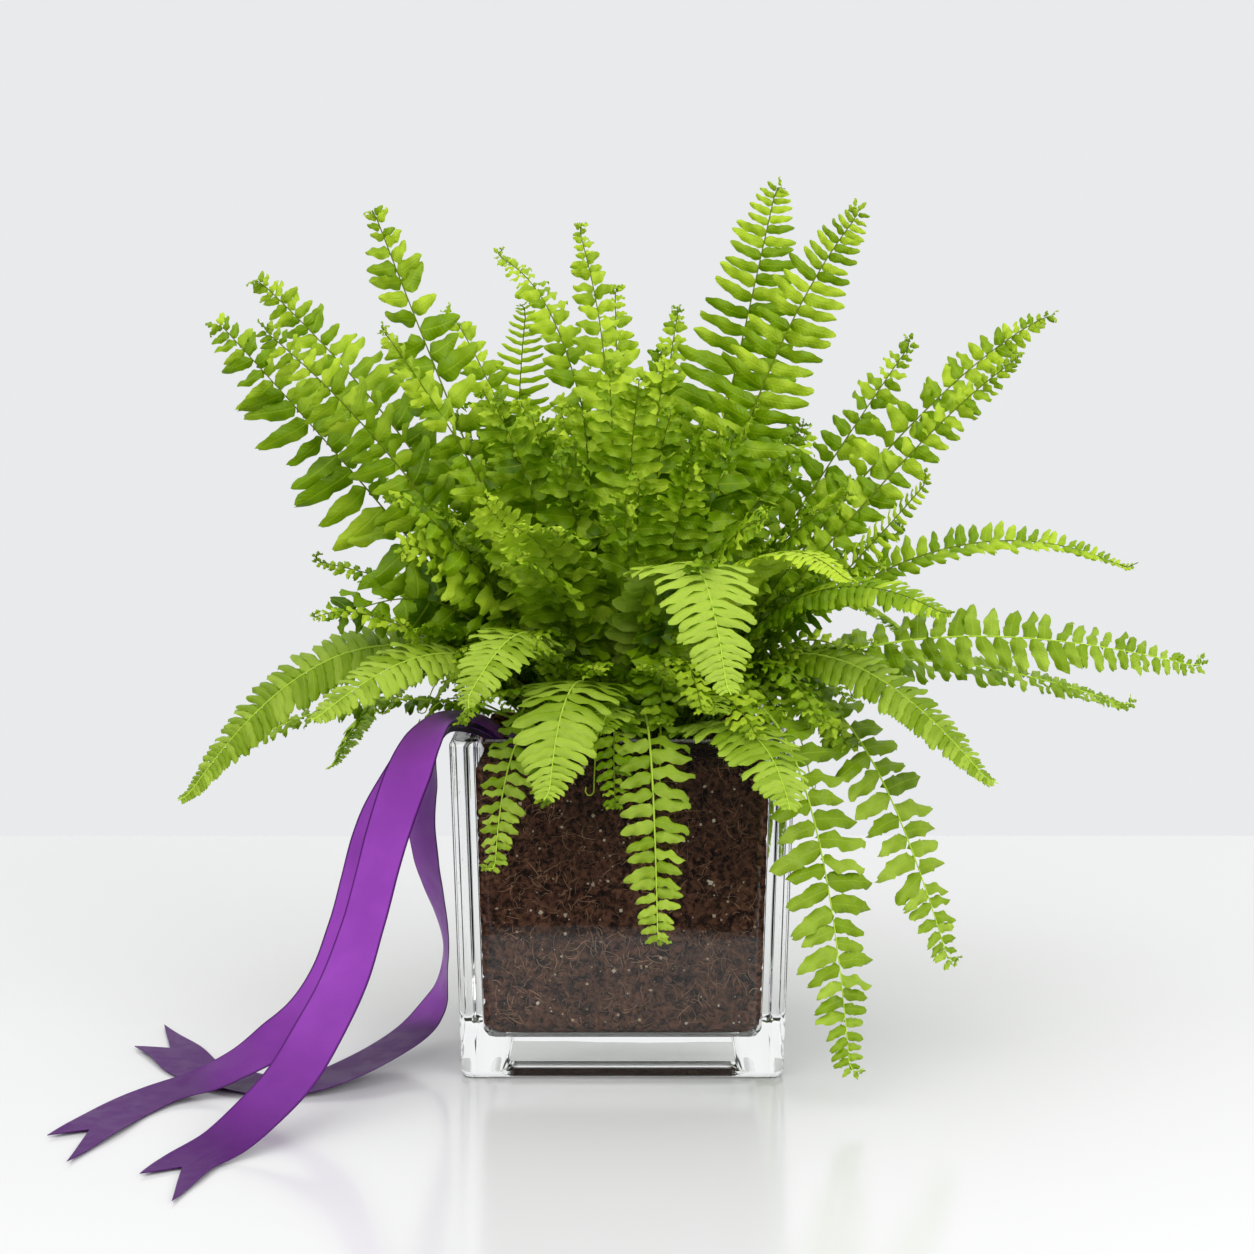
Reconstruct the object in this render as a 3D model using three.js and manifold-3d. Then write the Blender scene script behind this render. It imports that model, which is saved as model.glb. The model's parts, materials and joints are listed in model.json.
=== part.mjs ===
// Potted fern: a Boston fern with its fronds arching out of a soil-filled, thick-walled
// square glass vase, and three satin ribbon tails that hang over the left rim to the table.
// Millimetres, +Z up, the front faces -Y, origin at the middle of the vase's flat underside.

import * as THREE from 'three';
import { mergeVertices } from 'three/addons/utils/BufferGeometryUtils.js';
import Module from 'manifold-3d';

// ---------------------------------------------------------------- driving dimensions

const GAP = 0.3;                 // air left between pieces that touch on the real object

const VASE_HEIGHT = 150;
const VASE_HALF_TOP = 75;        // half of the outside width at the rim
const VASE_HALF_FOOT = 71;       // half of the outside width at the table
const WALL = 10;
const BASE_THICKNESS = 16;
const OUTER_CORNER = 7;          // plan radius of the vase's upright edges
const CAVITY_CORNER = 6;
const CORNER_STEPS = 3;

const SOIL_BELOW_RIM = 9;
const SOIL_TOP = VASE_HEIGHT - SOIL_BELOW_RIM;
const STEM_DEPTH = 20;           // how far a stem goes down into its hole
const STEM_HALF = 1.1;           // half of the stem's thickness at the soil
const HOLE_CLEARANCE = 0.4;

const BLADE_HALF = 0.32;         // half of a leaflet's thickness
const RIB_TIP_HALF = 0.45;
const BARE_STEPS = 3;            // straight stretches of the bare stem above the soil
const TIP_LENGTH = 6;

const RIBBON_WIDTH = 25;
const RIBBON_THICKNESS = 0.8;
const RIBBON_STEPS = 30;
const LONG_TIP = 38;             // from the notch in a ribbon's end to its longer tip
const SHORT_TIP = 12;            // and to its shorter one, as the ends are cut on the skew
const KNOT = { length: 15, width: 26, height: 9, x: -44, y: -44 };

const UP = new THREE.Vector3(0, 0, 1);

// ---------------------------------------------------------------- finishes

const glass = new THREE.MeshStandardMaterial({ color: 0xe8f0f0, roughness: 0.03, metalness: 0 });
const soilEarth = new THREE.MeshStandardMaterial({ color: 0x3a221a, roughness: 0.95, metalness: 0 });
const satin = new THREE.MeshStandardMaterial({ color: 0x7a1fb8, roughness: 0.35, metalness: 0 });
const leafGreen = new THREE.MeshStandardMaterial({ color: 0x7cbb1e, roughness: 0.5, metalness: 0 });
const youngLeaf = new THREE.MeshStandardMaterial({ color: 0xa9d82f, roughness: 0.5, metalness: 0 });

// ---------------------------------------------------------------- closed skins and solids

// Collects points and outward triangles of one closed body.
class Skin {
  constructor() {
    this.positions = [];
    this.triangles = [];
  }

  point(vector) {
    this.positions.push(vector.x, vector.y, vector.z);
    return this.positions.length / 3 - 1;
  }

  triangle(a, b, c) {
    this.triangles.push(a, b, c);
  }

  quad(a, b, c, d) {
    this.triangle(a, b, c);
    this.triangle(a, c, d);
  }

  fan(loop) {
    for (let i = 1; i < loop.length - 1; i += 1) {
      this.triangle(loop[0], loop[i], loop[i + 1]);
    }
  }

  geometry() {
    const geometry = new THREE.BufferGeometry();
    geometry.setAttribute('position', new THREE.Float32BufferAttribute(this.positions, 3));
    geometry.setIndex(this.triangles);
    return geometry;
  }
}

const wasm = await Module();
wasm.setup();

function toSolid(geometry) {
  const bare = geometry.clone();
  bare.deleteAttribute('normal');
  bare.deleteAttribute('uv');
  const merged = mergeVertices(bare, 1e-5);
  return new wasm.Manifold(new wasm.Mesh({
    numProp: 3,
    vertProperties: new Float32Array(merged.attributes.position.array),
    triVerts: new Uint32Array(merged.index.array),
  }));
}

function fromSolid(solid) {
  const mesh = solid.getMesh();
  const geometry = new THREE.BufferGeometry();
  geometry.setAttribute('position', new THREE.Float32BufferAttribute(mesh.vertProperties, 3));
  geometry.setIndex(Array.from(mesh.triVerts));
  return geometry;
}

const fern = new THREE.Group();

function place(name, geometry, material) {
  const mesh = new THREE.Mesh(geometry, material.clone());
  mesh.name = name;
  fern.add(mesh);
}

// ---------------------------------------------------------------- vase and soil

// Points of a square with round corners, anticlockwise seen from above.
function roundedSquare(half, radius, z) {
  const points = [];
  const centre = half - radius;
  for (let corner = 0; corner < 4; corner += 1) {
    const start = corner * Math.PI / 2;
    const cx = centre * Math.SQRT2 * Math.cos(start + Math.PI / 4);
    const cy = centre * Math.SQRT2 * Math.sin(start + Math.PI / 4);
    for (let step = 0; step <= CORNER_STEPS; step += 1) {
      const angle = start + (step / CORNER_STEPS) * Math.PI / 2;
      points.push(new THREE.Vector3(cx + radius * Math.cos(angle), cy + radius * Math.sin(angle), z));
    }
  }
  return points;
}

// A closed body lofted through rings from its first flat end to its last.
function loft(rings) {
  const skin = new Skin();
  const loops = rings.map(([half, radius, z]) => roundedSquare(half, radius, z).map((p) => skin.point(p)));
  for (let i = 0; i < loops.length - 1; i += 1) {
    const low = loops[i];
    const high = loops[i + 1];
    for (let j = 0; j < low.length; j += 1) {
      const next = (j + 1) % low.length;
      skin.quad(low[j], low[next], high[next], high[j]);
    }
  }
  skin.fan([...loops[0]].reverse());
  skin.fan(loops[loops.length - 1]);
  return skin.geometry();
}

function outerHalf(z) {
  return VASE_HALF_FOOT + (VASE_HALF_TOP - VASE_HALF_FOOT) * z / VASE_HEIGHT;
}

// The cavity as rings from its floor to a height, drawn in by an inset for what fills it.
function cavityRings(top, inset) {
  const floor = BASE_THICKNESS + inset;
  const ring = (drawIn, radius, z) => [outerHalf(z) - WALL - inset - drawIn, radius, z];
  return [
    ring(5, CAVITY_CORNER - 3, floor),
    ring(1.5, CAVITY_CORNER - 1, floor + 1.5),
    ring(0, CAVITY_CORNER, floor + 5),
    ring(0, CAVITY_CORNER, top),
  ];
}

function vaseGeometry() {
  const foot = [
    [VASE_HALF_FOOT - 3, OUTER_CORNER - 3, 0],
    [VASE_HALF_FOOT - 0.9, OUTER_CORNER - 1, 0.9],
    [outerHalf(3), OUTER_CORNER, 3],
  ];
  const rim = [
    [outerHalf(VASE_HEIGHT - 2.5), OUTER_CORNER, VASE_HEIGHT - 2.5],
    [VASE_HALF_TOP - 0.8, OUTER_CORNER - 0.5, VASE_HEIGHT - 0.7],
    [VASE_HALF_TOP - 2.6, OUTER_CORNER - 1, VASE_HEIGHT],
    [VASE_HALF_TOP - WALL + 2.2, CAVITY_CORNER + 0.8, VASE_HEIGHT],
    [VASE_HALF_TOP - WALL + 0.6, CAVITY_CORNER + 0.3, VASE_HEIGHT - 0.7],
  ];
  const cavity = cavityRings(VASE_HEIGHT - 2.5, 0).reverse();
  return loft([...foot, ...rim, ...cavity]);
}

// Soil fills the cavity, with one plain hole for each stem.
function soilGeometry(feet) {
  let soil = toSolid(loft(cavityRings(SOIL_TOP, GAP)));
  for (const foot of feet) {
    soil = soil.subtract(toSolid(holeGeometry(foot)));
  }
  return fromSolid(soil);
}

function holeGeometry({ x, y, angle }) {
  const side = 2 * (STEM_HALF + HOLE_CLEARANCE);
  const bottom = SOIL_TOP - STEM_DEPTH - HOLE_CLEARANCE;
  const height = SOIL_TOP + 1 - bottom;
  const hole = new THREE.BoxGeometry(side, side, height);
  hole.rotateZ(angle);
  hole.translate(x, y, bottom + height / 2);
  return hole;
}

// ---------------------------------------------------------------- frond

// A station on a stem or rib: where it is, which way it runs, its side and its upper face.
function addStation(skin, at, along, side, halfWidth, halfThickness) {
  const face = side.clone().cross(along).normalize();
  const corner = (s, n) => skin.point(
    at.clone().addScaledVector(side, s * halfWidth).addScaledVector(face, n * halfThickness),
  );
  return {
    at,
    along,
    side,
    face,
    halfWidth,
    left: { top: corner(-1, 1), bottom: corner(-1, -1) },
    right: { top: corner(1, 1), bottom: corner(1, -1) },
  };
}

function joinFaces(skin, a, b) {
  skin.quad(a.left.top, a.right.top, b.right.top, b.left.top);
  skin.quad(a.left.bottom, b.left.bottom, b.right.bottom, a.right.bottom);
}

function joinEdges(skin, a, b) {
  skin.quad(a.right.top, a.right.bottom, b.right.bottom, b.right.top);
  skin.quad(a.left.top, b.left.top, b.left.bottom, a.left.bottom);
}

// One leaflet between two stations: its rim runs out from the rib and back to it.
function addLeaflet(skin, a, b, hand, rim, grow) {
  const edge = hand > 0 ? 'right' : 'left';
  const face = a.face.clone().add(b.face).normalize();
  const side = a.side.clone().add(b.side).normalize();
  const along = a.along.clone().add(b.along).normalize();
  const middle = a.at.clone().add(b.at).multiplyScalar(0.5);
  const outer = rim.map(([out, forward, lift]) => {
    const at = middle.clone()
      .addScaledVector(side, hand * (out + a.halfWidth))
      .addScaledVector(along, forward)
      .addScaledVector(face, lift);
    const half = BLADE_HALF + grow;
    return {
      top: skin.point(at.clone().addScaledVector(face, half)),
      bottom: skin.point(at.clone().addScaledVector(face, -half)),
    };
  });
  const loop = [a[edge], ...outer, b[edge]];
  for (let i = 1; i < loop.length - 1; i += 1) {
    const [root, near, far] = [loop[0], loop[i], loop[i + 1]];
    if (hand > 0) {
      skin.triangle(root.top, near.top, far.top);
      skin.triangle(root.bottom, far.bottom, near.bottom);
    } else {
      skin.triangle(root.top, far.top, near.top);
      skin.triangle(root.bottom, near.bottom, far.bottom);
    }
  }
  for (let i = 0; i < loop.length - 1; i += 1) {
    const [near, far] = [loop[i], loop[i + 1]];
    if (hand > 0) {
      skin.quad(near.top, near.bottom, far.bottom, far.top);
    } else {
      skin.quad(near.top, far.top, far.bottom, near.bottom);
    }
  }
}

// Leaflets swell just above the bare stem, keep their length and shrink towards the tip.
function leafletLength(share, longest) {
  const swell = Math.min(1, 0.62 + 1.6 * share);
  const shrink = 1 - 0.86 * Math.max(0, (share - 0.3) / 0.7) ** 2;
  return longest * swell * shrink;
}

function smooth(from, to, value) {
  const x = Math.min(1, Math.max(0, (value - from) / (to - from)));
  return x * x * (3 - 2 * x);
}

// Rim points as [out from the rib, forward, lift]: blunt leaflets, pointed ones near the tip.
function leafletRim(style, length, pitch, share, hand, index) {
  const sweep = length * (0.14 + 0.3 * share);
  const droop = -length * style.droop;
  const wave = style.wave * length * (index % 2 ? 1 : -1) * hand;
  if (share > style.pointedFrom) {
    return [[length, sweep, droop]];
  }
  return [
    [length * style.belly, sweep - pitch * style.breadth, droop - wave],
    [length, sweep + pitch * style.breadth * style.blunt, droop + wave],
  ];
}

// comb: close oblong leaflets in a flat row. airy: sparse rounder ones on a bare rib. Breadth is
// a share of the pitch, belly, droop and wave are shares of the length, spacing is in mm.
const STYLES = {
  comb: {
    breadth: 0.33, belly: 0.86, blunt: 0.6, droop: 0.16, wave: 0.03, pointedFrom: 0.62,
    spacing: 12.5, rooted: 1,
  },
  airy: {
    breadth: 0.46, belly: 0.6, blunt: 0.35, droop: 0.1, wave: 0.1, pointedFrom: 0.8,
    spacing: 15.5, rooted: 0.4,
  },
};

// A frond in the upright plane that stands at one bearing round the vase's middle.
function frondGeometry(frond, grow = 0) {
  const angle = THREE.MathUtils.degToRad(frond.bearing);
  const outward = new THREE.Vector3(Math.cos(angle), Math.sin(angle), 0);
  const level = new THREE.Vector3(Math.sin(angle), -Math.cos(angle), 0);
  const spot = (out, up) => outward.clone().multiplyScalar(out).setZ(up);
  const surface = spot(frond.ring, SOIL_TOP + 1);
  const curve = new THREE.QuadraticBezierCurve3(surface, spot(...frond.shoulder), spot(...frond.tip));
  const length = curve.getLength();
  const style = STYLES[frond.style];
  const skin = new Skin();

  const station = (u) => {
    const along = curve.getTangentAt(u);
    const turn = THREE.MathUtils.degToRad(frond.roll) * smooth(0.08, 0.55, u);
    const side = level.clone().applyAxisAngle(along, turn);
    const half = STEM_HALF + (RIB_TIP_HALF - STEM_HALF) * Math.min(1, u * 1.2);
    return addStation(skin, curve.getPointAt(u), along, side, half + grow, half + grow);
  };

  const footAt = spot(frond.ring, SOIL_TOP - STEM_DEPTH);
  const foot = addStation(skin, footAt, UP, level, STEM_HALF + grow, STEM_HALF + grow);
  skin.quad(foot.left.top, foot.left.bottom, foot.right.bottom, foot.right.top);
  let last = foot;
  const bareTo = (next) => {
    joinFaces(skin, last, next);
    joinEdges(skin, last, next);
    last = next;
  };
  for (let i = 0; i <= BARE_STEPS; i += 1) {
    bareTo(station(frond.bare * i / BARE_STEPS));
  }

  const leafy = 1 - frond.bare - TIP_LENGTH / length;
  const pairs = Math.max(5, Math.round(leafy * length / style.spacing));
  for (let i = 0; i < pairs; i += 1) {
    const share = (i + 0.5) / pairs;
    const from = frond.bare + leafy * i / pairs;
    const to = from + leafy * style.rooted / pairs;
    const next = station(to);
    const pitch = leafy * length / pairs;
    joinFaces(skin, last, next);
    for (const hand of [1, -1]) {
      const rim = leafletRim(style, leafletLength(share, frond.leaf) + grow, pitch, share, hand, i);
      addLeaflet(skin, last, next, hand, rim, grow);
    }
    last = next;
    if (style.rooted < 1) {
      bareTo(station(frond.bare + leafy * (i + 1) / pairs));
    }
  }

  const tip = skin.point(curve.getPointAt(1));
  skin.triangle(last.left.top, last.right.top, tip);
  skin.triangle(last.right.top, last.right.bottom, tip);
  skin.triangle(last.right.bottom, last.left.bottom, tip);
  skin.triangle(last.left.bottom, last.left.top, tip);
  return skin.geometry();
}

// Each row is one frond. bearing is its direction round the vase in degrees, 0 to the right
// and -90 to the front; tip and shoulder are [out from the middle, height]; ring is where the
// stem leaves the soil; leaf is the longest leaflet; roll turns the blade about its rib; bare
// is the share of the stem below the leaflets.
const FRONDS = [
  // drooping over the front rim
  { name: 'frond_front_far_drop', style: 'comb', bearing: -50, tip: [149, 12], shoulder: [121, 228],
    ring: 41, leaf: 20, roll: 10, bare: 0.4 },
  { name: 'frond_front_drop', style: 'comb', bearing: -83, tip: [119, 72], shoulder: [97, 209],
    ring: 38, leaf: 16, roll: 0, bare: 0.3 },
  { name: 'frond_front_left_bright', style: 'comb', bearing: -103, tip: [133, 140], shoulder: [90, 214],
    ring: 33, leaf: 21, roll: 0, bare: 0.28 },
  { name: 'frond_front_left_drop', style: 'comb', bearing: -117, tip: [117, 101], shoulder: [99, 199],
    ring: 40, leaf: 13, roll: 0, bare: 0.3 },
  { name: 'frond_front_right_drop', style: 'comb', bearing: -54, tip: [146, 136], shoulder: [108, 180],
    ring: 35, leaf: 19, roll: 0, bare: 0.3 },
  { name: 'frond_right_drop', style: 'comb', bearing: -22, tip: [156, 47], shoulder: [100, 226],
    ring: 40, leaf: 22, roll: 25, bare: 0.3 },
  // arching towards the front
  { name: 'frond_front_big', style: 'comb', bearing: -75, tip: [158, 186], shoulder: [104, 294],
    ring: 27, leaf: 23, roll: 0, bare: 0.34 },
  { name: 'frond_front_bright', style: 'comb', bearing: -53, tip: [145, 225], shoulder: [80, 262],
    ring: 25, leaf: 17, roll: 0, bare: 0.34 },
  { name: 'frond_front_left_high', style: 'comb', bearing: -120, tip: [128, 176], shoulder: [70, 232],
    ring: 31, leaf: 17, roll: -10, bare: 0.3 },
  { name: 'frond_rim_middle', style: 'comb', bearing: -95, tip: [104, 162], shoulder: [66, 178],
    ring: 30, leaf: 13, roll: 0, bare: 0.35 },
  { name: 'frond_rim_right', style: 'comb', bearing: -69, tip: [106, 168], shoulder: [60, 184],
    ring: 32, leaf: 13, roll: 0, bare: 0.35 },
  // low arching at the left
  { name: 'frond_left_long', style: 'comb', bearing: -172, tip: [197, 118], shoulder: [114, 237],
    ring: 34, leaf: 19, roll: -35, bare: 0.22 },
  { name: 'frond_left_bright', style: 'comb', bearing: -148, tip: [152, 163], shoulder: [78, 216],
    ring: 32, leaf: 17, roll: -20, bare: 0.26 },
  { name: 'frond_left_low', style: 'airy', bearing: 170, tip: [199, 119], shoulder: [122, 176],
    ring: 36, leaf: 9, roll: -20, bare: 0.34 },
  // low arching at the right
  { name: 'frond_right_long', style: 'comb', bearing: -1, tip: [265, 172], shoulder: [108, 212],
    ring: 33, leaf: 17, roll: 40, bare: 0.2 },
  { name: 'frond_right_low', style: 'comb', bearing: 15, tip: [255, 143], shoulder: [106, 199],
    ring: 38, leaf: 14, roll: 20, bare: 0.2 },
  { name: 'frond_right_near', style: 'comb', bearing: -26, tip: [174, 134], shoulder: [86, 229],
    ring: 33, leaf: 15, roll: 20, bare: 0.26 },
  { name: 'frond_right_arch', style: 'comb', bearing: 10, tip: [242, 213], shoulder: [140, 262],
    ring: 27, leaf: 12, roll: 30, bare: 0.24 },
  { name: 'frond_right_front', style: 'comb', bearing: -34, tip: [161, 208], shoulder: [85, 242],
    ring: 29, leaf: 16, roll: 20, bare: 0.28 },
  // upright at the left
  { name: 'frond_tall_left', style: 'airy', bearing: 175, tip: [113, 380], shoulder: [66, 256],
    ring: 16, leaf: 18, roll: -80, bare: 0.24 },
  { name: 'frond_up_left_back', style: 'airy', bearing: 163, tip: [179, 349], shoulder: [80, 263],
    ring: 22, leaf: 20, roll: -70, bare: 0.24 },
  { name: 'frond_up_left_front', style: 'airy', bearing: -167, tip: [161, 326], shoulder: [88, 266],
    ring: 24, leaf: 19, roll: -80, bare: 0.26 },
  { name: 'frond_up_left_low', style: 'airy', bearing: 178, tip: [182, 330], shoulder: [100, 240],
    ring: 27, leaf: 25, roll: -60, bare: 0.24 },
  { name: 'frond_left_small', style: 'airy', bearing: -155, tip: [115, 327], shoulder: [52, 246],
    ring: 18, leaf: 14, roll: -60, bare: 0.24 },
  { name: 'frond_left_mid', style: 'airy', bearing: 168, tip: [147, 218], shoulder: [40, 200],
    ring: 30, leaf: 9, roll: -30, bare: 0.24 },
  { name: 'frond_left_thin', style: 'airy', bearing: -160, tip: [142, 201], shoulder: [112, 214],
    ring: 29, leaf: 8, roll: -30, bare: 0.24 },
  { name: 'frond_left_inner', style: 'airy', bearing: -144, tip: [117, 256], shoulder: [59, 216],
    ring: 26, leaf: 17, roll: -40, bare: 0.26 },
  // upright at the top
  { name: 'frond_top_a', style: 'airy', bearing: 143, tip: [101, 332], shoulder: [66, 300],
    ring: 14, leaf: 14, roll: -40, bare: 0.24 },
  { name: 'frond_top_b', style: 'airy', bearing: 124, tip: [109, 360], shoulder: [2, 330],
    ring: 16, leaf: 13, roll: -20, bare: 0.24 },
  { name: 'frond_top_c', style: 'airy', bearing: 110, tip: [54, 372], shoulder: [4, 290],
    ring: 9, leaf: 14, roll: 0, bare: 0.24 },
  { name: 'frond_top_comb', style: 'comb', bearing: 134, tip: [64, 335], shoulder: [90, 208],
    ring: 26, leaf: 17, roll: -60, bare: 0.3 },
  { name: 'frond_top_d', style: 'airy', bearing: 91, tip: [75, 344], shoulder: [22, 256],
    ring: 14, leaf: 15, roll: 0, bare: 0.3 },
  { name: 'frond_top_e', style: 'airy', bearing: 73, tip: [99, 334], shoulder: [20, 240],
    ring: 20, leaf: 14, roll: 20, bare: 0.24 },
  { name: 'frond_top_right', style: 'comb', bearing: 32, tip: [85, 392], shoulder: [46, 246],
    ring: 14, leaf: 24, roll: 60, bare: 0.3 },
  { name: 'frond_top_far_right', style: 'comb', bearing: 5, tip: [108, 378], shoulder: [54, 312],
    ring: 16, leaf: 22, roll: 85, bare: 0.3 },
  // upright at the right
  { name: 'frond_up_right_back', style: 'airy', bearing: 24, tip: [150, 318], shoulder: [120, 284],
    ring: 20, leaf: 14, roll: 60, bare: 0.24 },
  { name: 'frond_up_right', style: 'airy', bearing: 6, tip: [197, 332], shoulder: [136, 306],
    ring: 22, leaf: 13, roll: 80, bare: 0.26 },
  { name: 'frond_up_right_front', style: 'airy', bearing: -11, tip: [176, 313], shoulder: [132, 284],
    ring: 24, leaf: 12, roll: 70, bare: 0.26 },
  { name: 'frond_right_thin', style: 'comb', bearing: -27, tip: [142, 260], shoulder: [88, 196],
    ring: 20, leaf: 13, roll: 45, bare: 0.3 },
  // short ones that fill the front of the crown
  { name: 'frond_inner_a', style: 'airy', bearing: -111, tip: [75, 271], shoulder: [34, 215],
    ring: 20, leaf: 16, roll: 0, bare: 0.3 },
  { name: 'frond_inner_b', style: 'airy', bearing: -85, tip: [90, 264], shoulder: [44, 215],
    ring: 22, leaf: 16, roll: 0, bare: 0.3 },
  { name: 'frond_inner_c', style: 'airy', bearing: -61, tip: [68, 279], shoulder: [32, 215],
    ring: 17, leaf: 16, roll: 10, bare: 0.3 },
  { name: 'frond_inner_d', style: 'airy', bearing: -112, tip: [118, 232], shoulder: [60, 222],
    ring: 27, leaf: 14, roll: 0, bare: 0.3 },
  { name: 'frond_inner_e', style: 'airy', bearing: -98, tip: [112, 246], shoulder: [50, 236],
    ring: 25, leaf: 13, roll: 0, bare: 0.3 },
  { name: 'frond_inner_f', style: 'airy', bearing: -42, tip: [113, 254], shoulder: [58, 226],
    ring: 23, leaf: 15, roll: 20, bare: 0.3 },
  { name: 'frond_inner_g', style: 'airy', bearing: -142, tip: [96, 247], shoulder: [52, 220],
    ring: 23, leaf: 14, roll: -20, bare: 0.3 },
  // arching over the back rim
  { name: 'frond_back_a', style: 'comb', bearing: 40, tip: [190, 170], shoulder: [96, 240],
    ring: 32, leaf: 20, roll: 10, bare: 0.26 },
  { name: 'frond_back_b', style: 'comb', bearing: 63, tip: [150, 62], shoulder: [100, 224],
    ring: 38, leaf: 19, roll: 0, bare: 0.28 },
  { name: 'frond_back_c', style: 'comb', bearing: 84, tip: [200, 190], shoulder: [90, 262],
    ring: 30, leaf: 21, roll: 0, bare: 0.26 },
  { name: 'frond_back_d', style: 'comb', bearing: 103, tip: [160, 96], shoulder: [98, 226],
    ring: 38, leaf: 19, roll: 0, bare: 0.28 },
  { name: 'frond_back_e', style: 'comb', bearing: 124, tip: [196, 172], shoulder: [92, 250],
    ring: 31, leaf: 20, roll: -10, bare: 0.26 },
  { name: 'frond_back_f', style: 'comb', bearing: 146, tip: [172, 110], shoulder: [96, 226],
    ring: 36, leaf: 18, roll: -10, bare: 0.28 },
  { name: 'frond_back_g', style: 'airy', bearing: 56, tip: [165, 270], shoulder: [78, 262],
    ring: 24, leaf: 20, roll: 15, bare: 0.26 },
  { name: 'frond_back_h', style: 'airy', bearing: 100, tip: [172, 262], shoulder: [76, 258],
    ring: 25, leaf: 20, roll: 0, bare: 0.26 },
];

// ---------------------------------------------------------------- ribbon

// Each tail's route is a list of [x, y, z] on its middle line with [x, y, z] of the direction
// of its width there. longSide says which tip is the longer one: 1 on that side, -1 opposite.
const TAILS = {
  ribbon_front: {
    longSide: 1,
    route: [
      [[-52.5, -48, 148.8], [0, -1, 0]],
      [[-59, -48.5, 154.4], [0, -1, 0]],
      [[-67, -49.5, 157.4], [0.05, -1, 0]],
      [[-77.5, -51.5, 157.2], [0.3, -0.95, -0.02]],
      [[-87, -56, 147.5], [0.64, -0.76, -0.12]],
      [[-94, -62, 132.8], [0.77, -0.61, -0.19]],
      [[-101, -70, 111], [0.77, -0.63, -0.1]],
      [[-106.5, -78, 92], [0.78, -0.62, 0.06]],
      [[-111, -87, 73], [0.8, -0.59, 0.09]],
      [[-118, -102, 53], [0.84, -0.54, 0]],
      [[-128, -124, 33.5], [0.86, -0.5, -0.08]],
      [[-141, -148, 17], [0.84, -0.52, -0.1]],
      [[-157, -168, 5.5], [0.85, -0.52, -0.05]],
      [[-170, -184, 1.1], [0.93, -0.36, 0]],
      [[-176, -204, 1], [0.98, -0.17, 0]],
      [[-182, -228, 1], [0.98, -0.17, 0]],
    ],
  },
  ribbon_middle: {
    longSide: 1,
    route: [
      [[-52.5, -46, 146.1], [0, -1, 0]],
      [[-59.5, -46, 151.6], [0, -1, 0]],
      [[-67, -45.5, 154.2], [0, -1, 0]],
      [[-76.5, -45, 154], [0.05, -1, 0]],
      [[-85.5, -44.5, 146], [0.35, -0.93, -0.05]],
      [[-94, -46, 133.5], [0.72, -0.66, -0.22]],
      [[-104.8, -50, 115.4], [0.76, -0.63, -0.14]],
      [[-110, -53, 101.8], [0.78, -0.62, -0.09]],
      [[-115.3, -57, 83.9], [0.78, -0.62, 0]],
      [[-119.6, -62, 66.2], [0.8, -0.6, 0]],
      [[-126, -69, 47.5], [0.77, -0.63, -0.12]],
      [[-136.7, -79, 32.6], [0.69, -0.7, -0.2]],
      [[-149, -86, 22.5], [0.6, -0.75, -0.25]],
      [[-166, -88, 12], [0.45, -0.88, -0.15]],
      [[-183, -90, 4.5], [0.5, -0.86, -0.05]],
      [[-198, -99, 1.3], [0.7, -0.71, 0]],
      [[-209, -117, 1], [0.88, -0.47, 0]],
      [[-217, -141, 1], [0.94, -0.35, 0]],
      [[-231, -181, 1], [0.94, -0.35, 0]],
    ],
  },
  ribbon_back: {
    longSide: -1,
    route: [
      [[-52.6, -42, 143.4], [0, -1, 0]],
      [[-60, -42, 148.6], [0, -1, 0]],
      [[-67, -42, 151.2], [0, -1, 0]],
      [[-75.5, -41.8, 151.2], [0, -1, 0]],
      [[-81.8, -41.5, 143], [0.1, -0.99, 0.03]],
      [[-86, -41, 127], [0.42, -0.88, 0.17]],
      [[-89.5, -39.5, 107], [0.51, -0.82, 0.22]],
      [[-88, -36, 90.5], [0.46, -0.86, 0.22]],
      [[-85.1, -32, 75.9], [0.37, -0.9, 0.22]],
      [[-82.1, -28, 60], [0.25, -0.94, 0.15]],
      [[-80.6, -24, 42], [0.14, -0.98, 0]],
      [[-82.5, -24, 26.5], [0.26, -0.96, -0.08]],
      [[-90, -30, 15], [0.6, -0.78, 0.1]],
      [[-104, -50, 8], [0.74, -0.66, 0.1]],
      [[-124, -76, 3.5], [0.6, -0.8, 0.05]],
      [[-146, -87, 1.3], [-0.05, -1, 0]],
      [[-170, -76, 1], [-0.45, -0.89, 0]],
      [[-189, -58, 1], [-0.75, -0.66, 0]],
      [[-203, -32, 1], [-0.85, -0.53, 0]],
      [[-226, 5, 1], [-0.85, -0.53, 0]],
    ],
  },
};

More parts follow.
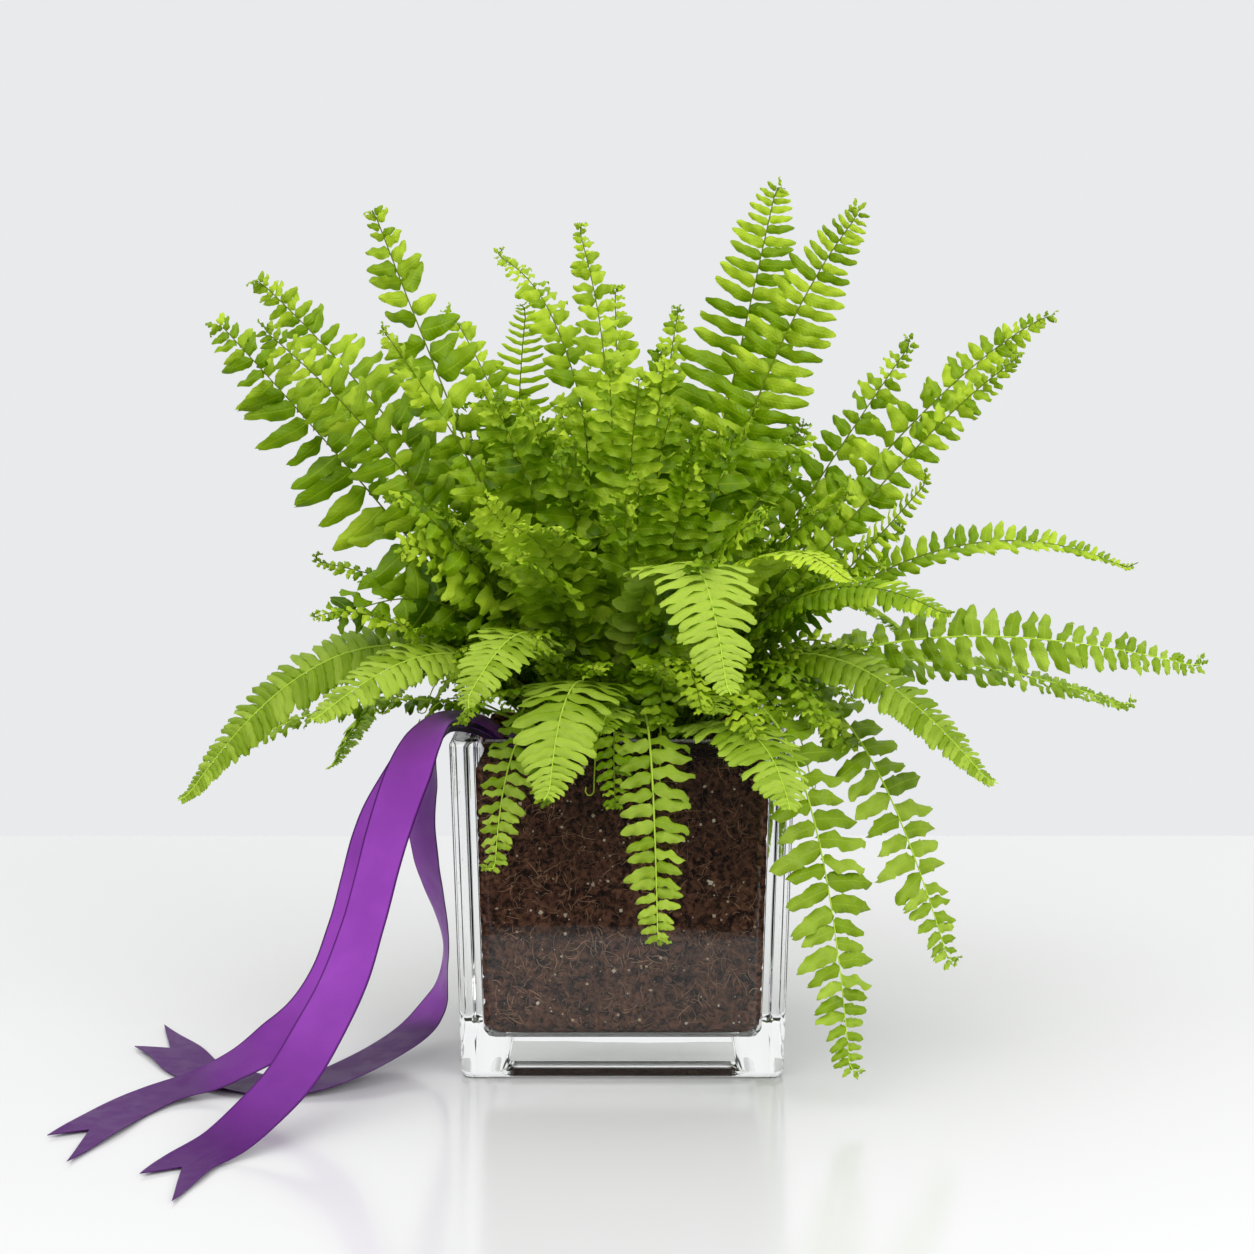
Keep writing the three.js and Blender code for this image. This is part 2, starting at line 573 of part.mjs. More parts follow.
// A flat strip swept along its middle line, with a skewed fishtail at its free end.
function tailGeometry({ longSide, route }) {
  const path = new THREE.CatmullRomCurve3(route.map(([at]) => new THREE.Vector3(...at)));
  const across = new THREE.CatmullRomCurve3(route.map(([, side]) => new THREE.Vector3(...side)));
  const skin = new Skin();
  // two points, on the upper and the lower face, at a share of the length and of the half width
  const pair = (u, shareAcross) => {
    const along = path.getTangentAt(u);
    const side = across.getPoint(path.getUtoTmapping(u));
    side.addScaledVector(along, -side.dot(along)).normalize();
    const face = side.clone().cross(along);
    const at = path.getPointAt(u).addScaledVector(side, shareAcross * RIBBON_WIDTH / 2);
    return {
      top: skin.point(at.clone().addScaledVector(face, RIBBON_THICKNESS / 2)),
      bottom: skin.point(at.clone().addScaledVector(face, -RIBBON_THICKNESS / 2)),
    };
  };
  const edges = (u) => ({ left: pair(u, -1), right: pair(u, 1) });
  const before = (length) => 1 - length / path.getLength();
  const tip = (hand) => pair(hand === longSide ? 1 : before(LONG_TIP - SHORT_TIP), hand);

  let last = edges(0);
  skin.quad(last.left.top, last.left.bottom, last.right.bottom, last.right.top);
  for (let i = 1; i <= RIBBON_STEPS; i += 1) {
    const next = edges(before(LONG_TIP + 5) * i / RIBBON_STEPS);
    joinFaces(skin, last, next);
    joinEdges(skin, last, next);
    last = next;
  }
  const end = { left: tip(-1), right: tip(1) };
  const notch = pair(before(LONG_TIP), 0);
  skin.triangle(last.left.top, notch.top, end.left.top);
  skin.triangle(last.left.top, last.right.top, notch.top);
  skin.triangle(last.right.top, end.right.top, notch.top);
  skin.triangle(last.left.bottom, end.left.bottom, notch.bottom);
  skin.triangle(last.left.bottom, notch.bottom, last.right.bottom);
  skin.triangle(last.right.bottom, notch.bottom, end.right.bottom);
  joinEdges(skin, last, end);
  skin.quad(end.right.top, end.right.bottom, notch.bottom, notch.top);
  skin.quad(notch.top, notch.bottom, end.left.bottom, end.left.top);
  return skin.geometry();
}

// The folded ribbon that the tails come from, lying on the soil inside the rim.
function knotGeometry() {
  const outline = new THREE.Shape();
  const halfLength = KNOT.length / 2;
  const halfHeight = KNOT.height / 2;
  outline.moveTo(-halfLength, -halfHeight * 0.7);
  outline.lineTo(-halfLength * 0.7, -halfHeight);
  outline.lineTo(halfLength * 0.7, -halfHeight);
  outline.quadraticCurveTo(halfLength * 1.1, 0, halfLength * 0.6, halfHeight);
  outline.lineTo(-halfLength * 0.6, halfHeight);
  outline.lineTo(-halfLength, halfHeight * 0.6);
  outline.closePath();
  const sweep = { depth: KNOT.width, bevelEnabled: false, curveSegments: 5 };
  const knot = new THREE.ExtrudeGeometry(outline, sweep);
  knot.translate(0, 0, -KNOT.width / 2);
  knot.rotateX(Math.PI / 2);
  knot.translate(KNOT.x, KNOT.y, SOIL_TOP + GAP + halfHeight);
  return knot;
}

// ---------------------------------------------------------------- assembly

// Fronds grow one after another. Each is turned a little, or starts its leaflets higher up the
// stem, until it clears the ones before: the smallest such change is taken.
const TURNS = [0, 2, -2, 4, -4, 6, -6, 8, -8, 11, -11, 14, -14];
const STRIPPED = [0, 0.05, 0.1, 0.15, 0.2, 0.25];
const changeOf = ({ turn, strip }) => Math.abs(turn) + 40 * strip;
const CHANGES = TURNS.flatMap((turn) => STRIPPED.map((strip) => ({ turn, strip })))
  .sort((a, b) => changeOf(a) - changeOf(b));

function changed(frond, { turn, strip }) {
  return { ...frond, bearing: frond.bearing + turn, bare: frond.bare + strip };
}

const TOUCHING = 1e-3;           // shared volume in mm3 below which two pieces are clear

function clears(solid, box, standing) {
  return standing.every((other) => (
    !box.intersectsBox(other.box) || solid.intersect(other.solid).volume() < TOUCHING
  ));
}

function boxOf(geometry) {
  geometry.computeBoundingBox();
  return geometry.boundingBox;
}

const vase = vaseGeometry();
const knot = knotGeometry();
place('vase', vase, glass);
place('ribbon_knot', knot, satin);
const standing = [vase, knot].map((geometry) => ({ box: boxOf(geometry), solid: toSolid(geometry) }));
for (const [name, ribbon] of Object.entries(TAILS)) {
  const tail = tailGeometry(ribbon);
  place(name, tail, satin);
  standing.push({ box: boxOf(tail), solid: toSolid(tail) });
}

const feet = [];
for (const wanted of FRONDS) {
  const change = CHANGES.find((candidate) => {
    const halo = frondGeometry(changed(wanted, candidate), GAP);
    return clears(toSolid(halo), boxOf(halo), standing);
  });
  if (change === undefined) {
    throw new Error(`${wanted.name} finds no clear place`);
  }
  const frond = changed(wanted, change);
  const geometry = frondGeometry(frond);
  const angle = THREE.MathUtils.degToRad(frond.bearing);
  feet.push({ x: frond.ring * Math.cos(angle), y: frond.ring * Math.sin(angle), angle });
  standing.push({ box: boxOf(geometry), solid: toSolid(geometry) });
  place(frond.name, geometry, frond.tip[1] < 190 ? youngLeaf : leafGreen);
}
place('soil', soilGeometry(feet), soilEarth);

export default fern;
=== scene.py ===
import json
import math

import bpy
import numpy as np
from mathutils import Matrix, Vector, noise


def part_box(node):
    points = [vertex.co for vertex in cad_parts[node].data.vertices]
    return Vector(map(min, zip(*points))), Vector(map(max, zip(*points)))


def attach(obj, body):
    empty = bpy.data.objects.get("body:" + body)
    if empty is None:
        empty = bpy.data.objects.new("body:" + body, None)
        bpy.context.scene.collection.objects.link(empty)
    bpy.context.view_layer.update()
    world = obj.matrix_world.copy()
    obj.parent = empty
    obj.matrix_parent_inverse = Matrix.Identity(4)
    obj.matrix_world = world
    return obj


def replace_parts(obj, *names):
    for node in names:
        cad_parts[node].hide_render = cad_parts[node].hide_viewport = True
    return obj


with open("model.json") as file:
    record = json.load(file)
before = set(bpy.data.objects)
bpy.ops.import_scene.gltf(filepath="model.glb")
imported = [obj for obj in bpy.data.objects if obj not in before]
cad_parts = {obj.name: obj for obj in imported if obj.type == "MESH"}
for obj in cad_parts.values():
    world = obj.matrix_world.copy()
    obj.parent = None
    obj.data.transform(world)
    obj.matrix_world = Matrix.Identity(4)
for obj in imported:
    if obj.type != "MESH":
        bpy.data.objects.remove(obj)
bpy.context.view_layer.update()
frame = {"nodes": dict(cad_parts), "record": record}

# A potted fern in a thick glass vase, with satin ribbon tails over its rim. Sizes are in
# millimetres in the tables and become metres in the meshes. +Z is up and the front faces -Y.

MM = 0.001

# ---------------------------------------------------------------- sizes shared with the solids

VASE_HEIGHT = 150
VASE_HALF_TOP = 75
VASE_HALF_FOOT = 71
WALL = 10
BASE_THICKNESS = 16
OUTER_CORNER = 7
CAVITY_CORNER = 6
GAP = 0.3
SOIL_TOP = 141
STEM_DEPTH = 20
STEM_HALF = 1.1
RIB_TIP_HALF = 0.45
RIBBON_WIDTH = 25
LONG_TIP = 38                    # from the notch in a tail's end to its longer tip
SHORT_TIP = 12                   # and to its shorter one, as the ends are cut on the skew

# ---------------------------------------------------------------- mesh helpers


def piece_from(name, points, faces, materials, smooth_below=50):
    """A named mesh piece of the part, from points in millimetres, riding on the one body."""
    mesh = bpy.data.meshes.new(name)
    mesh.from_pydata((np.asarray(points) * MM).tolist(), [], faces)
    mesh.validate()
    mesh.shade_smooth()
    mesh.set_sharp_from_angle(angle=math.radians(smooth_below))
    piece = bpy.data.objects.new(name, mesh)
    bpy.context.scene.collection.objects.link(piece)
    for material in materials:
        mesh.materials.append(material)
    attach(piece, "root")
    return piece


def mark(piece, name, values):
    """Stores one number for each point of a piece, which its material reads by name."""
    layer = piece.data.attributes.new(name, "FLOAT", "POINT")
    layer.data.foreach_set("value", np.asarray(values, np.float32))


def unit(vector):
    return vector / np.linalg.norm(vector)


def ramp(low, high, value):
    """0 below low, 1 above high, smooth between them."""
    x = np.clip((value - low) / (high - low), 0, 1)
    return x * x * (3 - 2 * x)


def turned(vector, axis, angle):
    """A vector turned about a unit axis by an angle in radians."""
    return (
        vector * math.cos(angle)
        + np.cross(axis, vector) * math.sin(angle)
        + axis * np.dot(axis, vector) * (1 - math.cos(angle))
    )


def ring_faces(rings, count, start=0):
    """Quads between rings of count points each, in the order that the points were added."""
    faces = []
    for i in range(rings - 1):
        low, high = start + i * count, start + (i + 1) * count
        for j in range(count):
            k = (j + 1) % count
            faces.append((low + j, low + k, high + k, high + j))
    return faces


def closed_faces(rings, count, start=0):
    """The quads between the rings and a flat cap at each end."""
    faces = ring_faces(rings, count, start)
    faces.append(tuple(reversed(range(start, start + count))))
    faces.append(tuple(range(start + (rings - 1) * count, start + rings * count)))
    return faces


class Line:
    """A line through close points, read by its share of the whole length.

    sides, if given, are the directions across it at the same points.
    """

    def __init__(self, points, sides=None):
        self.points = np.asarray(points, float)
        self.sides = sides
        steps = np.linalg.norm(np.diff(self.points, axis=0), axis=1)
        self.reached = np.concatenate([[0], np.cumsum(steps)])
        self.length = self.reached[-1]

    def read(self, table, share):
        at = share * self.length
        return np.array([np.interp(at, self.reached, table[:, k]) for k in range(3)])

    def at(self, share):
        return self.read(self.points, share)

    def along(self, share, step=0.004):
        return unit(self.at(min(1, share + step)) - self.at(max(0, share - step)))

    def across(self, share):
        along = self.along(share)
        side = self.read(self.sides, share)
        return unit(side - along * np.dot(side, along))


# ---------------------------------------------------------------- node helpers


class Nodes:
    """Adds nodes to one tree and links them."""

    def __init__(self, tree):
        self.tree = tree
        self.link = tree.links.new

    def add(self, kind, **settings):
        node = self.tree.nodes.new(kind)
        for key, value in settings.items():
            setattr(node, key, value)
        return node

    def feed(self, socket, value):
        """Links a socket to another one, or sets it to a plain number or colour."""
        if isinstance(value, bpy.types.NodeSocket):
            self.link(value, socket)
        else:
            socket.default_value = (*value, 1) if isinstance(value, tuple) else value

    def mixed(self, share, a, b, blend="MIX"):
        """A colour between a and b."""
        node = self.add("ShaderNodeMix", data_type="RGBA", blend_type=blend)
        for index, value in ((0, share), (6, a), (7, b)):
            self.feed(node.inputs[index], value)
        return node.outputs[2]

    def maths(self, operation, a, b=0.0):
        node = self.add("ShaderNodeMath", operation=operation)
        self.feed(node.inputs[0], a)
        self.feed(node.inputs[1], b)
        return node.outputs[0]

    def ranged(self, value, low, high, to_low=0.0, to_high=1.0):
        """to_low where the value is below low, to_high above high, smooth between them."""
        node = self.add("ShaderNodeMapRange", interpolation_type="SMOOTHSTEP")
        self.link(value, node.inputs["Value"])
        for label, number in (
            ("From Min", low), ("From Max", high), ("To Min", to_low), ("To Max", to_high),
        ):
            node.inputs[label].default_value = number
        return node.outputs["Result"]

    def marked(self, name):
        """What mark() stored on the piece."""
        return self.add("ShaderNodeAttribute", attribute_name=name).outputs["Fac"]

    def mottle(self, scale, detail=3.0):
        node = self.add("ShaderNodeGroup", node_tree=MOTTLE)
        node.inputs["Scale"].default_value = scale
        node.inputs["Detail"].default_value = detail
        return node.outputs["Patches"]

    def bump(self, shader, height, strength, distance):
        node = self.add("ShaderNodeBump")
        node.inputs["Strength"].default_value = strength
        node.inputs["Distance"].default_value = distance
        self.link(height, node.inputs["Height"])
        self.link(node.outputs["Normal"], shader.inputs["Normal"])


def fresh_material(name):
    material = bpy.data.materials.new(name)
    material.use_nodes = True
    return material, Nodes(material.node_tree), material.node_tree.nodes["Principled BSDF"]


def new_group(name, inputs, outputs):
    """A shader node group with named sockets: inputs is {name: default}, outputs {name: kind}."""
    tree = bpy.data.node_groups.new(name, "ShaderNodeTree")
    for label, default in inputs.items():
        kind = "NodeSocketColor" if isinstance(default, tuple) else "NodeSocketFloat"
        socket = tree.interface.new_socket(label, in_out="INPUT", socket_type=kind)
        socket.default_value = (*default, 1) if isinstance(default, tuple) else default
    for label, kind in outputs.items():
        tree.interface.new_socket(label, in_out="OUTPUT", socket_type="NodeSocket" + kind)
    nodes = Nodes(tree)
    return tree, nodes, nodes.add("NodeGroupInput"), nodes.add("NodeGroupOutput")


def mottle_group():
    """Soft patches at one scale, between 0 and 1, in the part's own space."""
    tree, nodes, given, out = new_group(
        "mottle", {"Scale": 100.0, "Detail": 3.0}, {"Patches": "Float"}
    )
    place = nodes.add("ShaderNodeTexCoord")
    cloud = nodes.add("ShaderNodeTexNoise")
    nodes.link(place.outputs["Object"], cloud.inputs["Vector"])
    nodes.link(given.outputs["Scale"], cloud.inputs["Scale"])
    nodes.link(given.outputs["Detail"], cloud.inputs["Detail"])
    nodes.link(nodes.ranged(cloud.outputs["Fac"], 0.32, 0.68), out.inputs["Patches"])
    return tree


MOTTLE = mottle_group()

# ---------------------------------------------------------------- glass


def glass_material():
    material, nodes, shader = fresh_material("vase_glass")
    shader.inputs["Base Color"].default_value = (0.985, 0.995, 0.992, 1)
    shader.inputs["Transmission Weight"].default_value = 1.0
    shader.inputs["IOR"].default_value = 1.36
    haze = nodes.ranged(nodes.mottle(9), 0, 1, 0.0, 0.02)
    nodes.link(haze, shader.inputs["Roughness"])
    nodes.bump(shader, nodes.mottle(22, 1), 0.25, 0.00025)
    return material


def rounded_square(half, radius, height, steps=9):
    """Points of a square with round corners, anticlockwise from above."""
    points = []
    for corner in range(4):
        turn = corner * math.pi / 2
        spread = (half - radius) * math.sqrt(2)
        middle = (spread * math.cos(turn + math.pi / 4), spread * math.sin(turn + math.pi / 4))
        for step in range(steps + 1):
            angle = turn + step / steps * math.pi / 2
            points.append((
                middle[0] + radius * math.cos(angle),
                middle[1] + radius * math.sin(angle),
                height,
            ))
    return points


def outer_half(z):
    return VASE_HALF_FOOT + (VASE_HALF_TOP - VASE_HALF_FOOT) * z / VASE_HEIGHT


def quarter(start, end, z_first, steps=6):
    """(half, z) pairs on a quarter round from start to end, which sets off along z or half."""
    pairs = []
    for i in range(steps + 1):
        angle = i / steps * math.pi / 2
        a, b = math.sin(angle), 1 - math.cos(angle)
        if z_first:
            a, b = b, a
        pairs.append((start[0] + (end[0] - start[0]) * a, start[1] + (end[1] - start[1]) * b))
    return pairs


FOOT_ROUND = 3
LIP_ROUND = 2.5
LIP_FROM_OUTSIDE = 2.6           # where the rim's flat top starts and ends
LIP_FROM_CAVITY = 2.2
FLOOR_ROUND = 5
RECESS_HALF = 55                 # the hollow in the vase's underside
RECESS_DEPTH = 3.6
RECESS_ROUND = 5
RECESS_LIP = 0.4                 # its edge reaches a hair below the foot, down to the table


def vase():
    lip_z, floor_z = VASE_HEIGHT - LIP_ROUND, BASE_THICKNESS + FLOOR_ROUND
    recess = quarter((RECESS_HALF - RECESS_ROUND, RECESS_DEPTH), (RECESS_HALF, -RECESS_LIP), True)
    recess.append((RECESS_HALF + 1, 0))
    foot = recess + quarter(
        (VASE_HALF_FOOT - FOOT_ROUND, 0), (outer_half(FOOT_ROUND), FOOT_ROUND), False
    )
    lip = quarter((outer_half(lip_z), lip_z), (VASE_HALF_TOP - LIP_FROM_OUTSIDE, VASE_HEIGHT), True)
    inner_lip = quarter(
        (VASE_HALF_TOP - WALL + LIP_FROM_CAVITY, VASE_HEIGHT),
        (outer_half(lip_z) - WALL, lip_z),
        False,
    )
    floor = quarter(
        (outer_half(floor_z) - WALL, floor_z),
        (outer_half(BASE_THICKNESS) - WALL - FLOOR_ROUND, BASE_THICKNESS),
        True,
    )
    points = []
    for index, (half, z) in enumerate(foot + lip + inner_lip + floor):
        inside = index >= len(foot) + len(lip)
        radius = CAVITY_CORNER if inside else OUTER_CORNER
        underside = z < 0.5 or (half < VASE_HALF_FOOT - 4 and not inside)
        cavity_floor = inside and z < BASE_THICKNESS + 1
        shrink = 3 if underside or cavity_floor else 0
        points += rounded_square(half, radius - shrink, z)
    count = len(rounded_square(1, 0, 0))
    faces = closed_faces(len(points) // count, count)
    piece = piece_from("glass_vase", points, faces, [glass_material()], 35)
    flats = piece.modifiers.new("even_flats", "WEIGHTED_NORMAL")
    flats.keep_sharp = True
    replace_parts(piece, "vase")


# ---------------------------------------------------------------- soil

SOIL_SIDE_RINGS = 64
SOIL_TOP_RINGS = 34
SOIL_CORNER_STEPS = 4            # steps round a corner of a ring
SOIL_EDGE_STEPS = 15             # and along a stretch between two corners
SOIL_LUMP = 1.7                  # how high the lumps on top stand
SOIL_FOOT_ROUND = 5
SOIL_EDGE_IN = 1.2               # how far its top edge is drawn in
FIBRES = 7500
FIBRE_RINGS = 5
FIBRE_SIDES = 3
SPECKS = 900


def soil_material():
    material, nodes, shader = fresh_material("peat_and_coir")
    place = nodes.add("ShaderNodeTexCoord").outputs["Object"]
    dark = nodes.mixed(nodes.mottle(140, 4), (0.014, 0.005, 0.003), (0.07, 0.028, 0.017))
    warm = nodes.mixed(nodes.mottle(520, 6), dark, (0.22, 0.096, 0.056))
    # dark pits: painted shade in the dents that the bump below makes
    pits = nodes.ranged(nodes.mottle(300, 8), 0.0, 0.5, 0.95, 0)
    shaded = nodes.mixed(pits, warm, (0.009, 0.004, 0.003))
    wisps = nodes.add("ShaderNodeTexVoronoi", feature="DISTANCE_TO_EDGE")
    wisps.inputs["Scale"].default_value = 210
    bent = nodes.add("ShaderNodeTexNoise")
    bent.inputs["Scale"].default_value = 130
    nodes.link(place, bent.inputs["Vector"])
    nodes.link(nodes.mixed(0.16, place, bent.outputs["Color"], "ADD"), wisps.inputs["Vector"])
    wisp = nodes.ranged(wisps.outputs["Distance"], 0.015, 0.05, 1, 0)
    wisp = nodes.maths("MULTIPLY", wisp, nodes.mottle(90, 3))
    nodes.link(nodes.mixed(wisp, shaded, (0.3, 0.14, 0.08)), shader.inputs["Base Color"])
    nodes.link(nodes.ranged(nodes.mottle(400), 0, 1, 0.8, 0.98), shader.inputs["Roughness"])
    shader.inputs["Specular IOR Level"].default_value = 0.0
    nodes.bump(shader, nodes.maths("SUBTRACT", nodes.mottle(330, 5), pits), 1.0, 0.0014)
    return material


def soil_ring(half, radius, z):
    """A rounded square ring with its straight stretches divided too."""
    corners = rounded_square(half, radius, z, SOIL_CORNER_STEPS)
    points = []
    for i, start in enumerate(corners):
        end = corners[(i + 1) % len(corners)]
        points.append(start)
        if i % (SOIL_CORNER_STEPS + 1) == SOIL_CORNER_STEPS:
            for step in range(1, SOIL_EDGE_STEPS):
                share = step / SOIL_EDGE_STEPS
                points.append(tuple(a + (b - a) * share for a, b in zip(start, end)))
    return points


def soil():
    floor = BASE_THICKNESS + GAP
    points = []
    for i in range(SOIL_SIDE_RINGS):
        share = i / (SOIL_SIDE_RINGS - 1)
        z = floor + (SOIL_TOP - floor) * share
        draw_in = SOIL_FOOT_ROUND * (1 - ramp(0, SOIL_FOOT_ROUND, z - floor))
        draw_in += SOIL_EDGE_IN * ramp(SOIL_TOP - 3, SOIL_TOP, z)
        half = outer_half(z) - WALL - GAP - draw_in
        for x, y, height in soil_ring(half, CAVITY_CORNER - 2, z):
            dent = 0.5 + 0.5 * noise.noise(Vector((x, y, height)) * 0.55)
            keep = 1 - 0.35 * dent / half
            points.append((x * keep, y * keep, height))
    rim = outer_half(SOIL_TOP) - WALL - GAP - SOIL_EDGE_IN
    for i in range(1, SOIL_TOP_RINGS):
        half = rim * (1 - i / SOIL_TOP_RINGS)
        for x, y, _ in soil_ring(half, min(4, half * 0.3), 0):
            lump = noise.fractal(Vector((x, y, 3)) * 0.11, 1.0, 2.2, 4)
            points.append((x, y, SOIL_TOP + SOIL_LUMP * max(-1, min(0.9, lump)) * min(1, i / 3)))
    count = len(soil_ring(10, 2, 0))
    faces = closed_faces(len(points) // count, count)
    piece = piece_from("soil_block", points, faces, [soil_material()], 180)
    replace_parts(piece, "soil")


def fibre_material():
    material, nodes, shader = fresh_material("coir_fibre")
    tone = nodes.mixed(nodes.mottle(60), (0.16, 0.06, 0.032), (0.62, 0.36, 0.21))
    nodes.link(tone, shader.inputs["Base Color"])
    shader.inputs["Roughness"].default_value = 0.75
    shader.inputs["Specular IOR Level"].default_value = 0.1
    return material


def speck_material():
    material, nodes, shader = fresh_material("pale_speck")
    tone = nodes.mixed(nodes.mottle(90), (0.6, 0.42, 0.24), (0.95, 0.86, 0.7))
    nodes.link(tone, shader.inputs["Base Color"])
    shader.inputs["Roughness"].default_value = 0.8
    return material


def on_soil(rng):
    """A random spot on the soil's walls or top, with the way out of it."""
    face = int(rng.uniform() * 5)
    across = rng.uniform(-0.93, 0.93)
    if face == 4:
        half = outer_half(SOIL_TOP) - WALL - 4
        return np.array([across * half, rng.uniform(-1, 1) * half, SOIL_TOP]), np.array([0, 0, 1.0])
    z = rng.uniform(BASE_THICKNESS + 6, SOIL_TOP - 2)
    half = outer_half(z) - WALL - GAP
    turn = face * math.pi / 2
    out = np.array([math.cos(turn), math.sin(turn), 0])
    side = np.array([-out[1], out[0], 0])
    return out * half + side * across * half + np.array([0, 0, z]), out


def soil_fibres():
    rng = np.random.default_rng(11)
    points, faces = [], []
    for _ in range(FIBRES):
        at, out = on_soil(rng)
        run = unit(np.cross(out, rng.normal(size=3)))
        side = np.cross(out, run)
        length, radius = 1.5 + 7 * rng.uniform() ** 2, 0.08 + 0.17 * rng.uniform() ** 3
        bend, start = rng.uniform(-0.9, 0.9), len(points)
        for step in range(FIBRE_RINGS):
            share = step / (FIBRE_RINGS - 1) - 0.5
            centre = at + run * share * length + side * bend * length * (share * share - 0.1)
            centre = centre - out * 0.12 * abs(share)
            for k in range(FIBRE_SIDES):
                angle = k * 2 * math.pi / FIBRE_SIDES
                points.append(centre + radius * (out * math.cos(angle) + side * math.sin(angle)))
        faces += closed_faces(FIBRE_RINGS, FIBRE_SIDES, start)
    piece_from("soil_fibres", points, faces, [fibre_material()], 180)


def soil_specks():
    rng = np.random.default_rng(12)
    points, faces = [], []
    for _ in range(SPECKS):
        at, out = on_soil(rng)
        side = unit(np.cross(out, rng.normal(size=3)))
        over = np.cross(out, side)
        size, start = 0.3 + 0.85 * rng.uniform() ** 3, len(points)
        reach = rng.uniform(0.7, 1.3, 6) * size
        for axis, far in zip((side, over, -side, -over, out * 0.6, -out), reach):
            points.append(at + axis * far)
        for k in range(4):
            near, far = start + k, start + (k + 1) % 4
            faces += [(near, far, start + 4), (far, near, start + 5)]
    piece_from("soil_specks", points, faces, [speck_material()], 30)


# ---------------------------------------------------------------- leaves


def leaf_group():
    """Leaf colour, gloss and relief from what the leaflets' points carry."""
    tree, nodes, given, out = new_group(
        "leaf_surface",
        {"Deep": (0.1, 0.2, 0.01), "Fresh": (0.25, 0.4, 0.02), "Lime": (0.45, 0.6, 0.04),
         "Stalk": (0.2, 0.26, 0.02)},
        {"Color": "Color", "Roughness": "Float", "Height": "Float"},
    )
    lime, share = nodes.marked("lime"), nodes.marked("frond_share")
    across, along = nodes.marked("leaf_across"), nodes.marked("leaf_along")
    patches = nodes.mottle(70, 4)

    # paler on young fronds and with each frond's lime mark, partly its own colour and partly
    # painted light and shade, towards their tips, in patches and from leaflet to leaflet
    tone = nodes.maths("ADD", lime, nodes.maths("MULTIPLY", share, 0.42))
    tone = nodes.maths("ADD", tone, nodes.maths("MULTIPLY", along, 0.16))
    spread = nodes.maths("MULTIPLY", nodes.maths("SUBTRACT", patches, 0.5), 0.22)
    tone = nodes.maths("ADD", tone, spread)
    own = nodes.maths("SUBTRACT", nodes.marked("leaf_tone"), 0.5)
    tone = nodes.maths("ADD", tone, nodes.maths("MULTIPLY", own, 0.56))
    lower = nodes.mixed(nodes.ranged(tone, 0.0, 0.62), given.outputs["Deep"], given.outputs["Fresh"])
    colour = nodes.mixed(nodes.ranged(tone, 0.6, 1.25), lower, given.outputs["Lime"])

    # a pale line down the middle of each leaflet, and the stalk's colour, its own green
    # brightened with painted light for the glow that passes through a thin real rib
    away = nodes.maths("ABSOLUTE", across)
    vein = nodes.ranged(away, 0.0, 0.13, 1, 0)
    colour = nodes.mixed(nodes.maths("MULTIPLY", vein, 0.35), colour, given.outputs["Lime"])
    stalk = nodes.marked("stalk")
    colour = nodes.mixed(stalk, colour, given.outputs["Stalk"])
    nodes.link(colour, out.inputs["Color"])

    # the stalk is duller than the leaflets
    gloss = nodes.ranged(patches, 0, 1, 0.28, 0.44)
    dull = nodes.maths("MULTIPLY", stalk, 0.35)
    nodes.link(nodes.maths("ADD", gloss, dull), out.inputs["Roughness"])

    # slanting ridges for the side veins and a groove for the middle one
    slant = nodes.maths("MULTIPLY", away, 9)
    wave = nodes.maths("SUBTRACT", nodes.maths("MULTIPLY", along, 62), slant)
    side_veins = nodes.maths("MULTIPLY", nodes.maths("SINE", wave), 0.3)
    relief = nodes.maths("SUBTRACT", side_veins, nodes.maths("MULTIPLY", vein, 1.2))
    nodes.link(nodes.maths("ADD", relief, patches), out.inputs["Height"])
    return tree


LEAF_SURFACE = leaf_group()


def leaf_material(name, deep, fresh, lime, stalk, see_through):
    material, nodes, shader = fresh_material(name)
    surface = nodes.add("ShaderNodeGroup", node_tree=LEAF_SURFACE)
    for label, colour in (("Deep", deep), ("Fresh", fresh), ("Lime", lime), ("Stalk", stalk)):
        surface.inputs[label].default_value = (*colour, 1)
    nodes.link(surface.outputs["Color"], shader.inputs["Base Color"])
    nodes.link(surface.outputs["Roughness"], shader.inputs["Roughness"])
    shader.inputs["Specular IOR Level"].default_value = 0.25
    nodes.bump(shader, surface.outputs["Height"], 0.35, 0.0004)
    through = nodes.add("ShaderNodeBsdfTranslucent")
    nodes.link(surface.outputs["Color"], through.inputs["Color"])
    both = nodes.add("ShaderNodeMixShader")
    both.inputs[0].default_value = see_through
    nodes.link(shader.outputs["BSDF"], both.inputs[1])
    nodes.link(through.outputs["BSDF"], both.inputs[2])
    nodes.link(both.outputs["Shader"], material.node_tree.nodes["Material Output"].inputs["Surface"])
    return material


# The stalk colours are brightened above a stalk's own green, the young one most: painted light
# standing in for the glow that passes through a thin real rib.
LEAF = leaf_material(
    "fern_leaf", deep=(0.034, 0.12, 0.001), fresh=(0.285, 0.485, 0.004),
    lime=(0.66, 0.84, 0.05), stalk=(0.24, 0.33, 0.015), see_through=0.38,
)
YOUNG_LEAF = leaf_material(
    "young_fern_leaf", deep=(0.07, 0.17, 0.002), fresh=(0.32, 0.5, 0.01),
    lime=(0.58, 0.76, 0.085), stalk=(0.72, 0.92, 0.12), see_through=0.42,
)

